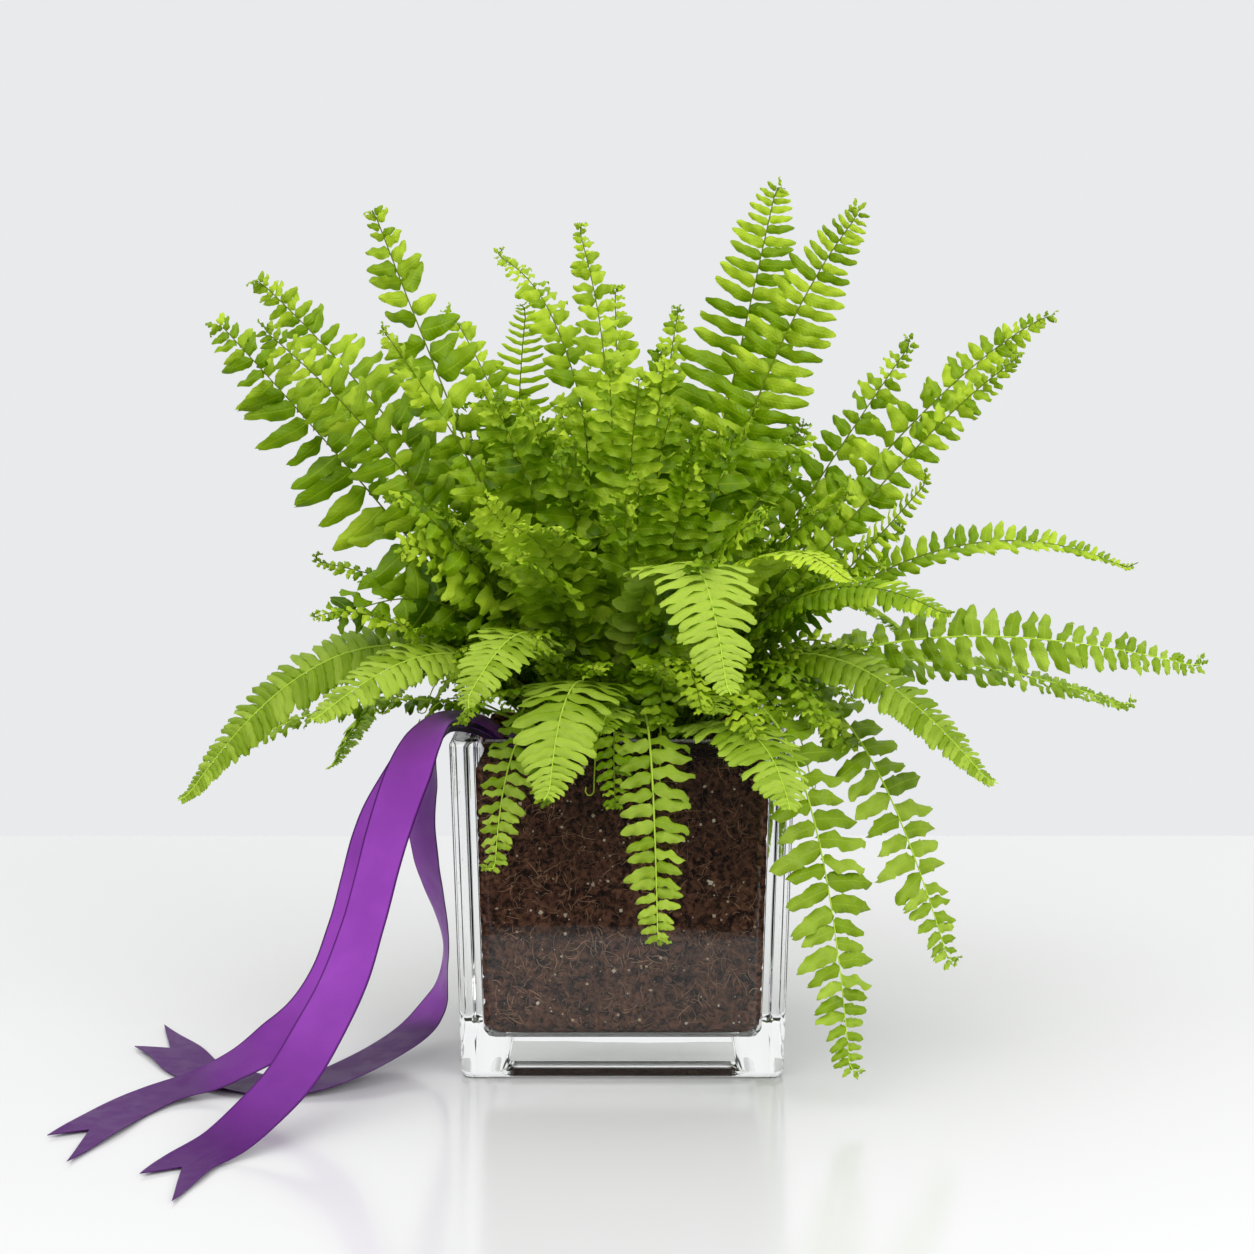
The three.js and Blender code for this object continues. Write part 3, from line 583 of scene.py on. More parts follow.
# What sets the kinds of frond apart. A leaflet's half width is its length times aspect plus
# a little, room is its share of the rib over its own width, neck is its width at the rib, and
# end and point shape its tip. fold lifts both rows, sweep bends leaflets towards the tip, tilt
# lays them over each other like shingles, and twist, yaw and uneven are how much single ones
# turn and vary. stagger sets the two rows off against each other.
KINDS = {
    "comb": {
        "aspect": 0.14, "room": 0.78, "end": 7.0, "point": 0.5, "neck": 0.9, "droop": 0.14,
        "fold": 0.0, "cup": 0.35, "wave": 0.22, "tilt": 0.2, "twist": 0.16, "yaw": 0.1,
        "uneven": 0.12, "lobes": 0.06, "ear": 0.2, "sweep": 0.2, "stagger": 0.15, "curl": 40,
    },
    "slim": {
        "aspect": 0.09, "room": 1.45, "end": 4.0, "point": 0.55, "neck": 0.8, "droop": 0.12,
        "fold": 0.0, "cup": 0.3, "wave": 0.25, "tilt": 0.3, "twist": 0.2, "yaw": 0.08,
        "uneven": 0.1, "lobes": 0.05, "ear": 0.1, "sweep": 0.12, "stagger": 0.3, "curl": 90,
    },
    "wavy": {
        "aspect": 0.165, "room": 1.12, "end": 3.6, "point": 0.58, "neck": 0.55, "droop": 0.14,
        "fold": 0.05, "cup": 0.25, "wave": 0.45, "tilt": 0.2, "twist": 0.42, "yaw": 0.18,
        "uneven": 0.18, "lobes": 0.1, "ear": 0.15, "sweep": 0.1, "stagger": 0.4, "curl": 170,
    },
    "long": {
        "aspect": 0.13, "room": 1.12, "end": 3.6, "point": 0.55, "neck": 0.6, "droop": 0.14,
        "fold": 0.05, "cup": 0.3, "wave": 0.45, "tilt": 0.25, "twist": 0.35, "yaw": 0.12,
        "uneven": 0.14, "lobes": 0.08, "ear": 0.15, "sweep": 0.1, "stagger": 0.4, "curl": 150,
    },
    "loose": {
        "aspect": 0.19, "room": 0.98, "end": 2.8, "point": 0.6, "neck": 0.4, "droop": 0.34,
        "fold": 0.0, "cup": 0.3, "wave": 0.42, "tilt": 0.2, "twist": 0.62, "yaw": 0.3,
        "uneven": 0.22, "lobes": 0.08, "ear": 0.12, "sweep": 0.15, "stagger": 0.5, "curl": 210,
    },
    "arched": {
        "aspect": 0.2, "room": 1.05, "end": 3.2, "point": 0.6, "neck": 0.5, "droop": 0.12,
        "fold": 0.35, "cup": 0.25, "wave": 0.3, "tilt": 0.3, "twist": 0.3, "yaw": 0.15,
        "uneven": 0.15, "lobes": 0.06, "ear": 0.15, "sweep": 0.3, "stagger": 0.3, "curl": 90,
    },
    "airy": {
        "aspect": 0.27, "room": 1.0, "end": 2.2, "point": 0.62, "neck": 0.3, "droop": 0.24,
        "fold": 0.05, "cup": 0.3, "wave": 0.38, "tilt": 0.15, "twist": 0.65, "yaw": 0.34,
        "uneven": 0.26, "lobes": 0.05, "ear": 0.12, "sweep": 0.15, "stagger": 0.5, "curl": 220,
    },
}

# Each row is one frond: its kind, tip and shoulder as (out from the middle, height), ring where
# the stem leaves the soil, its longest leaflet, roll of the blade about its rib in degrees,
# the bare share of the stem in the solid, and lime, how yellow and bright its leaflets are.
# lime is partly their own yellower colour and partly painted light: higher on the fronds that
# face the light, lower as painted shade on those inside the crown.
FRONDS = {
    "front_far_drop": ("wavy", (149, 12), (121, 228), 41, 20, 10, 0.4, 0.36),
    "front_drop": ("wavy", (119, 72), (97, 209), 38, 15, 0, 0.3, 0.72),
    "front_left_bright": ("comb", (133, 140), (90, 214), 33, 21, 0, 0.28, 0.75),
    "front_left_drop": ("wavy", (117, 101), (99, 199), 40, 12, 0, 0.3, 0.6),
    "front_right_drop": ("comb", (146, 136), (108, 180), 35, 19, 0, 0.3, 0.7),
    "right_drop": ("wavy", (156, 47), (100, 226), 40, 22, 25, 0.3, 0.4),
    "front_big": ("comb", (158, 186), (104, 294), 27, 23, 0, 0.34, 0.9),
    "front_bright": ("comb", (145, 225), (80, 262), 25, 17, 0, 0.34, 0.95),
    "front_left_high": ("comb", (128, 176), (70, 232), 31, 17, -10, 0.3, 0.6),
    "rim_middle": ("comb", (104, 162), (66, 178), 30, 13, 0, 0.35, 0.55),
    "rim_right": ("comb", (106, 168), (60, 184), 32, 13, 0, 0.35, 0.5),
    "left_long": ("comb", (197, 118), (114, 237), 34, 16, -35, 0.22, 0.42),
    "left_bright": ("comb", (152, 163), (78, 216), 32, 17, -20, 0.26, 0.65),
    "left_low": ("airy", (199, 119), (122, 176), 36, 9, -20, 0.34, 0.42),
    "right_long": ("wavy", (265, 172), (108, 212), 33, 18, 40, 0.2, 0.42),
    "right_low": ("wavy", (255, 143), (106, 199), 38, 15, 20, 0.2, 0.45),
    "right_near": ("comb", (174, 134), (86, 229), 33, 15, 20, 0.26, 0.45),
    "right_arch": ("arched", (242, 213), (140, 262), 27, 12, 30, 0.24, 0.5),
    "right_front": ("comb", (161, 208), (85, 242), 29, 16, 20, 0.28, 0.4),
    "tall_left": ("airy", (113, 380), (66, 256), 16, 20, -80, 0.24, 0.5),
    "up_left_back": ("loose", (179, 349), (80, 263), 22, 20, -70, 0.24, 0.46),
    "up_left_front": ("loose", (161, 326), (88, 266), 24, 19, -80, 0.26, 0.46),
    "up_left_low": ("loose", (182, 330), (100, 240), 27, 24, -60, 0.24, 0.4),
    "left_small": ("airy", (115, 327), (52, 246), 18, 14, -60, 0.24, 0.5),
    "left_mid": ("airy", (147, 218), (40, 200), 30, 9, -30, 0.24, 0.45),
    "left_thin": ("airy", (142, 201), (112, 214), 29, 8, -30, 0.24, 0.5),
    "left_inner": ("airy", (117, 256), (59, 216), 26, 17, -40, 0.26, 0.36),
    "top_a": ("airy", (101, 332), (66, 300), 14, 14, -40, 0.24, 0.6),
    "top_b": ("airy", (109, 360), (2, 330), 16, 13, -20, 0.24, 0.7),
    "top_c": ("airy", (54, 372), (4, 290), 9, 14, 0, 0.24, 0.62),
    "top_comb": ("slim", (64, 335), (90, 208), 26, 18, -40, 0.3, 0.8),
    "top_d": ("airy", (75, 344), (22, 256), 14, 15, 0, 0.3, 0.6),
    "top_e": ("airy", (99, 334), (20, 240), 20, 14, 20, 0.24, 0.6),
    "top_right": ("long", (85, 392), (46, 246), 14, 26, 60, 0.3, 0.5),
    "top_far_right": ("long", (108, 378), (54, 312), 16, 22, 85, 0.3, 0.5),
    "up_right_back": ("airy", (150, 318), (120, 284), 20, 14, 60, 0.24, 0.45),
    "up_right": ("airy", (197, 332), (136, 306), 22, 13, 80, 0.26, 0.5),
    "up_right_front": ("airy", (176, 313), (132, 284), 24, 12, 70, 0.26, 0.5),
    "right_thin": ("slim", (142, 260), (88, 196), 20, 14, 45, 0.3, 0.5),
    "inner_a": ("airy", (75, 271), (34, 215), 20, 16, 0, 0.3, 0.3),
    "inner_b": ("loose", (90, 264), (44, 215), 22, 17, 0, 0.3, 0.32),
    "inner_c": ("airy", (68, 279), (32, 215), 17, 16, 10, 0.3, 0.28),
    "inner_d": ("loose", (118, 232), (60, 222), 27, 15, 0, 0.3, 0.38),
    "inner_e": ("airy", (112, 246), (50, 236), 25, 13, 0, 0.3, 0.4),
    "inner_f": ("loose", (113, 254), (58, 226), 23, 16, 20, 0.3, 0.34),
    "inner_g": ("airy", (96, 247), (52, 220), 23, 14, -20, 0.3, 0.34),
    "back_a": ("comb", (190, 170), (96, 240), 32, 20, 10, 0.26, 0.5),
    "back_b": ("comb", (150, 62), (100, 224), 38, 19, 0, 0.28, 0.55),
    "back_c": ("comb", (200, 190), (90, 262), 30, 21, 0, 0.26, 0.5),
    "back_d": ("comb", (160, 96), (98, 226), 38, 19, 0, 0.28, 0.6),
    "back_e": ("comb", (196, 172), (92, 250), 31, 20, -10, 0.26, 0.5),
    "back_f": ("comb", (172, 110), (96, 226), 36, 18, -10, 0.28, 0.55),
    "back_g": ("airy", (165, 270), (78, 262), 24, 20, 15, 0.26, 0.4),
    "back_h": ("airy", (172, 262), (76, 258), 25, 20, 0, 0.26, 0.4),
}

LEAF_ROWS = 12                   # points along a leaflet
LEAF_COLUMNS = 5                 # points across it
LEAF_THICKNESS = 0.28
RIB_SIDES = 6
RIB_STATIONS = 46
RIB_SHARE = 0.62                 # the real rib's thickness as a share of the solid's
LEAF_SHARE = 1.1                 # the real leaflets' length as a share of the solids'
TIP_LEAF = 0.14                  # the last leaflets' length as a share of the longest one's


def leaflet_faces():
    """Faces of one closed leaflet: its upper grid, then a lower one that shares its rim."""
    upper = np.arange(LEAF_ROWS * LEAF_COLUMNS).reshape(LEAF_ROWS, LEAF_COLUMNS)
    lower = upper.copy()
    inside = (LEAF_ROWS - 2) * (LEAF_COLUMNS - 2)
    lower[1:-1, 1:-1] = upper.size + np.arange(inside).reshape(LEAF_ROWS - 2, LEAF_COLUMNS - 2)
    faces = []
    for i in range(LEAF_ROWS - 1):
        for j in range(LEAF_COLUMNS - 1):
            faces.append((upper[i, j], upper[i + 1, j], upper[i + 1, j + 1], upper[i, j + 1]))
            faces.append((lower[i, j], lower[i, j + 1], lower[i + 1, j + 1], lower[i + 1, j]))
    return np.array(faces)


LEAFLET_FACES = leaflet_faces()
ALONG = np.linspace(0, 1, LEAF_ROWS)[:, None] ** 0.9
ACROSS = np.linspace(-1, 1, LEAF_COLUMNS)[None, :]


def leaflet_grid(kind, length, half_width, leafy, rng):
    """Points of a leaflet as (out, forward, lift) from its root on the rib, in two layers."""
    # its outline, with an ear at the root and shallow lobes
    neck = kind["neck"] + (1 - kind["neck"]) * np.clip(ALONG / 0.14, 0, 1) ** 0.7
    taper = (1 - (0.985 * ALONG) ** kind["end"]) ** kind["point"]
    phase = rng.uniform(0, 2 * math.pi)
    lobes = 1 + kind["lobes"] * np.sin(2 * math.pi * 3.6 * ALONG + phase) * ramp(0.1, 0.3, ALONG)
    ear = 1 + kind["ear"] * np.exp(-(((ALONG - 0.14) / 0.09) ** 2)) * (ACROSS > 0)
    across = ACROSS * half_width * neck * taper * lobes * ear

    # its cupped and wavy cross-section, turned about its middle line
    edge_wave = np.sin(2 * math.pi * (1.7 * ALONG) + phase + 0.8 * np.sign(ACROSS))
    lift = kind["wave"] * half_width * edge_wave * ACROSS**2 - kind["cup"] * half_width * ACROSS**2
    turn = kind["tilt"] + kind["twist"] * (rng.uniform(-1, 1) + 0.6 * rng.uniform(-1, 1) * ALONG)
    forward = across * np.cos(turn) - lift * np.sin(turn)
    lift = across * np.sin(turn) + lift * np.cos(turn)

    # the droop, lift and sweep along it, and its own way off the rib
    lift = lift - kind["droop"] * rng.uniform(0.5, 1.5) * length * ALONG**2
    lift = lift + kind["fold"] * length * ALONG
    forward = forward + (kind["sweep"] + 0.2 * leafy) * length * ALONG**1.5
    yaw = kind["yaw"] * rng.uniform(-1, 1)
    out = ALONG * length
    turned_out = out * np.cos(yaw) - forward * np.sin(yaw)
    forward = out * np.sin(yaw) + forward * np.cos(yaw)
    upper = np.stack([turned_out, forward, lift], axis=-1)
    lower = upper[1:-1, 1:-1].copy()
    upper[1:-1, 1:-1, 2] += LEAF_THICKNESS / 2
    lower[..., 2] -= LEAF_THICKNESS / 2
    return np.concatenate([upper.reshape(-1, 3), lower.reshape(-1, 3)])


def both_layers(grid):
    """One number for each point of a leaflet, from its upper grid."""
    full = np.broadcast_to(grid, (LEAF_ROWS, LEAF_COLUMNS))
    return np.concatenate([full.reshape(-1), full[1:-1, 1:-1].reshape(-1)])


LEAF_ALONG = both_layers(ALONG)
LEAF_ACROSS = both_layers(ACROSS)


def bearing_of(node):
    """The direction in which a frond leaves the middle, read from its foot in the soil."""
    points = np.array([v.co for v in frame["nodes"][node].data.vertices])
    foot = points[points[:, 2] < points[:, 2].min() + 0.0005]
    if points[:, 2].min() < (SOIL_TOP - STEM_DEPTH - 1) * MM:
        low = np.abs(points[:, 2] - (SOIL_TOP - STEM_DEPTH) * MM) < 0.0002
        near = np.hypot(points[:, 0], points[:, 1]) < 0.05
        foot = points[low & near]
    x, y = foot[:, 0].mean(), foot[:, 1].mean()
    return math.atan2(y, x)


class Frond:
    """One frond's rib as a line, with the way its blade faces at each share of it."""

    def __init__(self, angle, row, rng):
        kind, tip, shoulder, self.ring, self.leaf, self.roll, self.bare, self.lime = row
        self.kind = KINDS[kind]
        self.outward = np.array([math.cos(angle), math.sin(angle), 0])
        self.level = np.array([math.sin(angle), -math.cos(angle), 0])
        start = self.spot(self.ring, SOIL_TOP + 1)
        t = np.linspace(0, 0.985, 260)[:, None]
        middle, end = self.spot(*shoulder), self.spot(*tip)
        route = (1 - t) ** 2 * start + 2 * t * (1 - t) * middle + t * t * end
        sway = rng.uniform(-2.2, 2.2) * np.sin(t * math.pi * rng.uniform(1.5, 3)) * t
        route = route + self.level * sway
        self.line = Line(np.vstack([route, self.tip_curl(route, rng)]))

    def spot(self, out, up):
        return self.outward * out + np.array([0, 0, up])

    def tip_curl(self, route, rng):
        """The last few millimetres, which coil up a little as young tips do."""
        along = unit(route[-1] - route[-4])
        side = turned(self.level, along, math.radians(self.roll) + rng.uniform(-0.8, 0.8))
        bend = np.cross(side, along) if rng.uniform() < 0.6 else -side
        radius, steps, at = 2.4, 14, route[-1].copy()
        points = []
        for step in range(steps):
            angle = math.radians(self.kind["curl"]) * step / steps
            at = at + radius * 0.27 * (along * math.cos(angle) + bend * math.sin(angle))
            points.append(at.copy())
        return np.array(points)

    def frame_at(self, share):
        along = self.line.along(share)
        turn = math.radians(self.roll) * float(ramp(0.08, 0.55, share))
        side = turned(self.level, along, turn)
        side = unit(side - along * np.dot(side, along))
        return self.line.at(share), along, side, np.cross(side, along)

    def rib_half(self, share):
        return RIB_SHARE * (STEM_HALF + (RIB_TIP_HALF - STEM_HALF) * min(1, share * 1.2))

    def leaflet_length(self, leafy):
        """Swelling above the bare stem and shrinking towards the tip, much as in the solid."""
        swell = min(1, 0.6 + 1.8 * leafy)
        shrink = 1 - (1 - TIP_LEAF) * max(0, (leafy - 0.3) / 0.7) ** 2.6
        return LEAF_SHARE * self.leaf * swell * shrink

    def half_width(self, length):
        return length * self.kind["aspect"] + 0.55

    def leaflet_places(self, first, rng):
        """(share of the rib, share of the leafy part) of each pair of leaflets."""
        whole = self.line.length
        at, end, places = first * whole, 0.99 * whole, []
        while at < end:
            leafy = (at - first * whole) / (end - first * whole)
            places.append((at / whole, leafy))
            gap = 2 * self.half_width(self.leaflet_length(leafy)) * self.kind["room"]
            at += gap * (1 + 0.35 * self.kind["uneven"] * rng.uniform(-1, 1))
        return places


class LeafMesh:
    """Collects the ribs and leaflets of one or more fronds for one piece."""

    def __init__(self):
        self.points, self.faces, self.count = [], [], 0
        labels = ("leaf_along", "leaf_across", "frond_share", "leaf_tone", "stalk", "lime")
        self.marks = {label: [] for label in labels}

    def keep(self, points, faces, **marks):
        self.points.append(points)
        self.faces.extend((np.asarray(faces) + self.count).tolist())
        self.count += len(points)
        for label, values in marks.items():
            self.marks[label].append(np.broadcast_to(values, len(points)))

    def add_rib(self, frond, depth, stalk=1.0):
        low = frond.spot(frond.ring, SOIL_TOP - depth)
        up = np.array([0, 0, 1.0])
        rings = [(low, frond.level, np.cross(frond.level, up), frond.rib_half(0), 0.0)]
        for share in np.linspace(0, 1, RIB_STATIONS):
            at, along, side, face = frond.frame_at(share)
            rings.append((at, side, face, frond.rib_half(share), share))
        points, shares = [], []
        for at, side, face, half, share in rings:
            for k in range(RIB_SIDES):
                angle = k * 2 * math.pi / RIB_SIDES
                points.append(at + half * (side * math.cos(angle) + face * math.sin(angle)))
                shares.append(share)
        faces = [tuple(reversed(face)) for face in ring_faces(len(rings), RIB_SIDES)]
        self.keep(
            np.array(points), faces, leaf_along=0.0, leaf_across=1.0,
            frond_share=np.array(shares), leaf_tone=0.5, stalk=stalk, lime=frond.lime,
        )

    def add_leaflets(self, frond, rng):
        kind = frond.kind
        for share, leafy in frond.leaflet_places(frond.bare * 0.45, rng):
            for hand in (1, -1):
                length = frond.leaflet_length(leafy) * (1 + kind["uneven"] * rng.uniform(-1, 0.7))
                half = frond.half_width(length)
                moved = share + kind["stagger"] * half * (1 + hand) / frond.line.length
                at, along, side, face = frond.frame_at(min(moved, 0.995))
                grid = leaflet_grid(kind, length, half, leafy, rng)
                root = at + hand * side * frond.rib_half(share) * 0.3
                spread = grid[:, :1] * hand * side + grid[:, 1:2] * along + grid[:, 2:] * face
                order = LEAFLET_FACES if hand > 0 else LEAFLET_FACES[:, ::-1]
                self.keep(
                    root + spread, order, leaf_along=LEAF_ALONG, leaf_across=LEAF_ACROSS,
                    frond_share=leafy, leaf_tone=rng.uniform(), stalk=0.0, lime=frond.lime,
                )

    def piece(self, name, material, slot):
        piece = piece_from(name, np.concatenate(self.points), self.faces, [material])
        for label, values in self.marks.items():
            mark(piece, label, np.concatenate(values))
        return piece


def frond_piece(name, seed):
    rng = np.random.default_rng(seed)
    node = "frond_" + name
    frond = Frond(bearing_of(node), FRONDS[name], rng)
    mesh = LeafMesh()
    mesh.add_rib(frond, STEM_DEPTH)
    mesh.add_leaflets(frond, rng)
    slot = next(s["material_slot"] for s in frame["record"]["subparts"] if s["node"] == node)
    material = YOUNG_LEAF if slot == "young_leaf" else LEAF
    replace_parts(mesh.piece("fern_" + name, material, slot), node)


CROWN_FILL = 13                  # short fronds in each quarter of the crown
RIM_FILL = 13                    # and shorter ones that hang out over the rim
RUNNERS = 4                      # bare pale stems that hang over it too
RIBBON_BEARING = 214             # where the tails cross the rim, in degrees
RIBBON_CLEARANCE = 17            # and how far to each side the short fronds are changed there
OVER_RIBBON = 176                # how high the short fronds there end, above the tails


def crown_fill(quarter_name, first_bearing, seed):
    """The short young fronds that fill the crown between the long ones."""
    rng = np.random.default_rng(seed)
    mesh = LeafMesh()

    def grow(share, row, leafy=True):
        bearing = first_bearing + 90 * share + rng.uniform(0, 5)
        if row[1][1] < OVER_RIBBON and abs(bearing - RIBBON_BEARING) < RIBBON_CLEARANCE:
            if not leafy:
                return
            row = (row[0], (96, OVER_RIBBON), (68, 214), *row[3:])
        frond = Frond(math.radians(bearing), row, rng)
        mesh.add_rib(frond, 3, 1.0 if leafy else 0.0)
        if leafy:
            mesh.add_leaflets(frond, rng)

    # from upright ones in the middle to low ones that lean out
    for i in range(CROWN_FILL):
        lean = (i * 0.618) % 1
        tip = (26 + 112 * lean, 308 - 85 * lean**1.6 + rng.uniform(-34, 10))
        shoulder = (12 + 58 * lean, 222 + rng.uniform(-10, 22))
        kind, leaf, roll = ("airy", "wavy")[i % 2], rng.uniform(14, 20), rng.uniform(-70, 70)
        lime = rng.uniform(0.12, 0.7)
        grow(i / CROWN_FILL, (kind, tip, shoulder, 8 + 34 * lean, leaf, roll, 0.3, lime))
    for i in range(RIM_FILL):
        tip = (rng.uniform(88, 120), rng.uniform(118, 195))
        shoulder = (78, 196 + rng.uniform(-8, 24))
        leaf, roll, lime = rng.uniform(9, 14), rng.uniform(-25, 25), rng.uniform(0.12, 0.62)
        grow(i / RIM_FILL, ("wavy", tip, shoulder, 37, leaf, roll, 0.3, lime))
    for i in range(RUNNERS):
        tip = (rng.uniform(84, 100), rng.uniform(124, 150))
        shoulder = (84, rng.uniform(176, 196))
        grow((i + 0.5) / RUNNERS, ("airy", tip, shoulder, 40, 0, 0, 0.3, 0.8), leafy=False)
    mesh.piece("fern_crown_fill_" + quarter_name, LEAF, "leaf")


# ---------------------------------------------------------------- ribbon

# The same routes as the solids' tails: points on the middle line, each with the direction of
# the ribbon's width there. The first number says on which side the end's longer tip is.
TAILS = {
    "ribbon_front": (1, [
        ((-52.5, -48, 148.8), (0, -1, 0)),
        ((-59, -48.5, 154.4), (0, -1, 0)),
        ((-67, -49.5, 157.4), (0.05, -1, 0)),
        ((-77.5, -51.5, 157.2), (0.3, -0.95, -0.02)),
        ((-87, -56, 147.5), (0.64, -0.76, -0.12)),
        ((-94, -62, 132.8), (0.77, -0.61, -0.19)),
        ((-101, -70, 111), (0.77, -0.63, -0.1)),
        ((-106.5, -78, 92), (0.78, -0.62, 0.06)),
        ((-111, -87, 73), (0.8, -0.59, 0.09)),
        ((-118, -102, 53), (0.84, -0.54, 0)),
        ((-128, -124, 33.5), (0.86, -0.5, -0.08)),
        ((-141, -148, 17), (0.84, -0.52, -0.1)),
        ((-157, -168, 5.5), (0.85, -0.52, -0.05)),
        ((-170, -184, 1.1), (0.93, -0.36, 0)),
        ((-176, -204, 1), (0.98, -0.17, 0)),
        ((-182, -228, 1), (0.98, -0.17, 0)),
    ]),
    "ribbon_middle": (1, [
        ((-52.5, -46, 146.1), (0, -1, 0)),
        ((-59.5, -46, 151.6), (0, -1, 0)),
        ((-67, -45.5, 154.2), (0, -1, 0)),
        ((-76.5, -45, 154), (0.05, -1, 0)),
        ((-85.5, -44.5, 146), (0.35, -0.93, -0.05)),
        ((-94, -46, 133.5), (0.72, -0.66, -0.22)),
        ((-104.8, -50, 115.4), (0.76, -0.63, -0.14)),
        ((-110, -53, 101.8), (0.78, -0.62, -0.09)),
        ((-115.3, -57, 83.9), (0.78, -0.62, 0)),
        ((-119.6, -62, 66.2), (0.8, -0.6, 0)),
        ((-126, -69, 47.5), (0.77, -0.63, -0.12)),
        ((-136.7, -79, 32.6), (0.69, -0.7, -0.2)),
        ((-149, -86, 22.5), (0.6, -0.75, -0.25)),
        ((-166, -88, 12), (0.45, -0.88, -0.15)),
        ((-183, -90, 4.5), (0.5, -0.86, -0.05)),
        ((-198, -99, 1.3), (0.7, -0.71, 0)),
        ((-209, -117, 1), (0.88, -0.47, 0)),
        ((-217, -141, 1), (0.94, -0.35, 0)),
        ((-231, -181, 1), (0.94, -0.35, 0)),
    ]),
    "ribbon_back": (-1, [
        ((-52.6, -42, 143.4), (0, -1, 0)),
        ((-60, -42, 148.6), (0, -1, 0)),
        ((-67, -42, 151.2), (0, -1, 0)),
        ((-75.5, -41.8, 151.2), (0, -1, 0)),
        ((-81.8, -41.5, 143), (0.1, -0.99, 0.03)),
        ((-86, -41, 127), (0.42, -0.88, 0.17)),
        ((-89.5, -39.5, 107), (0.51, -0.82, 0.22)),
        ((-88, -36, 90.5), (0.46, -0.86, 0.22)),
        ((-85.1, -32, 75.9), (0.37, -0.9, 0.22)),
        ((-82.1, -28, 60), (0.25, -0.94, 0.15)),
        ((-80.6, -24, 42), (0.14, -0.98, 0)),
        ((-82.5, -24, 26.5), (0.26, -0.96, -0.08)),
        ((-90, -30, 15), (0.6, -0.78, 0.1)),
        ((-104, -50, 8), (0.74, -0.66, 0.1)),
        ((-124, -76, 3.5), (0.6, -0.8, 0.05)),
        ((-146, -87, 1.3), (-0.05, -1, 0)),
        ((-170, -76, 1), (-0.45, -0.89, 0)),
        ((-189, -58, 1), (-0.75, -0.66, 0)),
        ((-203, -32, 1), (-0.85, -0.53, 0)),
        ((-226, 5, 1), (-0.85, -0.53, 0)),
    ]),
}

TAIL_STEPS = 200
TAIL_COLUMNS = 9
SATIN_THICKNESS = 0.35


def satin_material():
    material, nodes, shader = fresh_material("purple_satin")
    across = nodes.marked("ribbon_across")
    edge = nodes.ranged(nodes.maths("ABSOLUTE", across), 0.9, 0.97)
    # painted light: hanging stretches get a brighter purple that stands in for their sheen, flat
    # ones lying on the table a dark one that stands in for shade
    painted_lit_satin = nodes.mixed(nodes.mottle(35), (0.29, 0.048, 0.44), (0.35, 0.062, 0.52))
    tone = nodes.mixed(nodes.marked("ribbon_painted_light"), (0.07, 0.002, 0.12), painted_lit_satin)
    nodes.link(nodes.mixed(edge, tone, (0.075, 0.005, 0.13)), shader.inputs["Base Color"])
    nodes.link(nodes.ranged(nodes.mottle(120), 0, 1, 0.36, 0.46), shader.inputs["Roughness"])
    shader.inputs["Specular IOR Level"].default_value = 0.12
    shader.inputs["Sheen Weight"].default_value = 0.02
    shader.inputs["Sheen Roughness"].default_value = 0.35
    threads = nodes.maths("SINE", nodes.maths("MULTIPLY", nodes.marked("ribbon_along"), 17.0))
    nodes.bump(shader, nodes.maths("ADD", threads, edge), 0.25, 0.00012)
    return material


SATIN = satin_material()


def smooth_route(knots, steps=60):
    """Points on the smooth line through the knots, eased by the gaps between them."""
    knots = np.asarray(knots, float)
    whole = np.vstack([2 * knots[0] - knots[1], knots, 2 * knots[-1] - knots[-2]])
    points = []
    for i in range(len(knots) - 1):
        p0, p1, p2, p3 = whole[i:i + 4]
        gaps = [max(np.linalg.norm(b - a) ** 0.5, 1e-4) for a, b in ((p0, p1), (p1, p2), (p2, p3))]
        d0, d1, d2 = gaps
        m1 = ((p1 - p0) / d0 - (p2 - p0) / (d0 + d1) + (p2 - p1) / d1) * d1
        m2 = ((p2 - p1) / d1 - (p3 - p1) / (d1 + d2) + (p3 - p2) / d2) * d1
        t = np.linspace(0, 1, steps, endpoint=i == len(knots) - 2)[:, None]
        points.append(
            (2 * t**3 - 3 * t**2 + 1) * p1 + (t**3 - 2 * t**2 + t) * m1
            + (3 * t**2 - 2 * t**3) * p2 + (t**3 - t**2) * m2
        )
    return np.concatenate(points)


def skewed_end(across, long_side):
    """How far a tail's end is cut back at a place across it: a V with one longer tip."""
    if across * long_side > 0:
        return LONG_TIP * (1 - abs(across))
    return LONG_TIP - SHORT_TIP * abs(across)


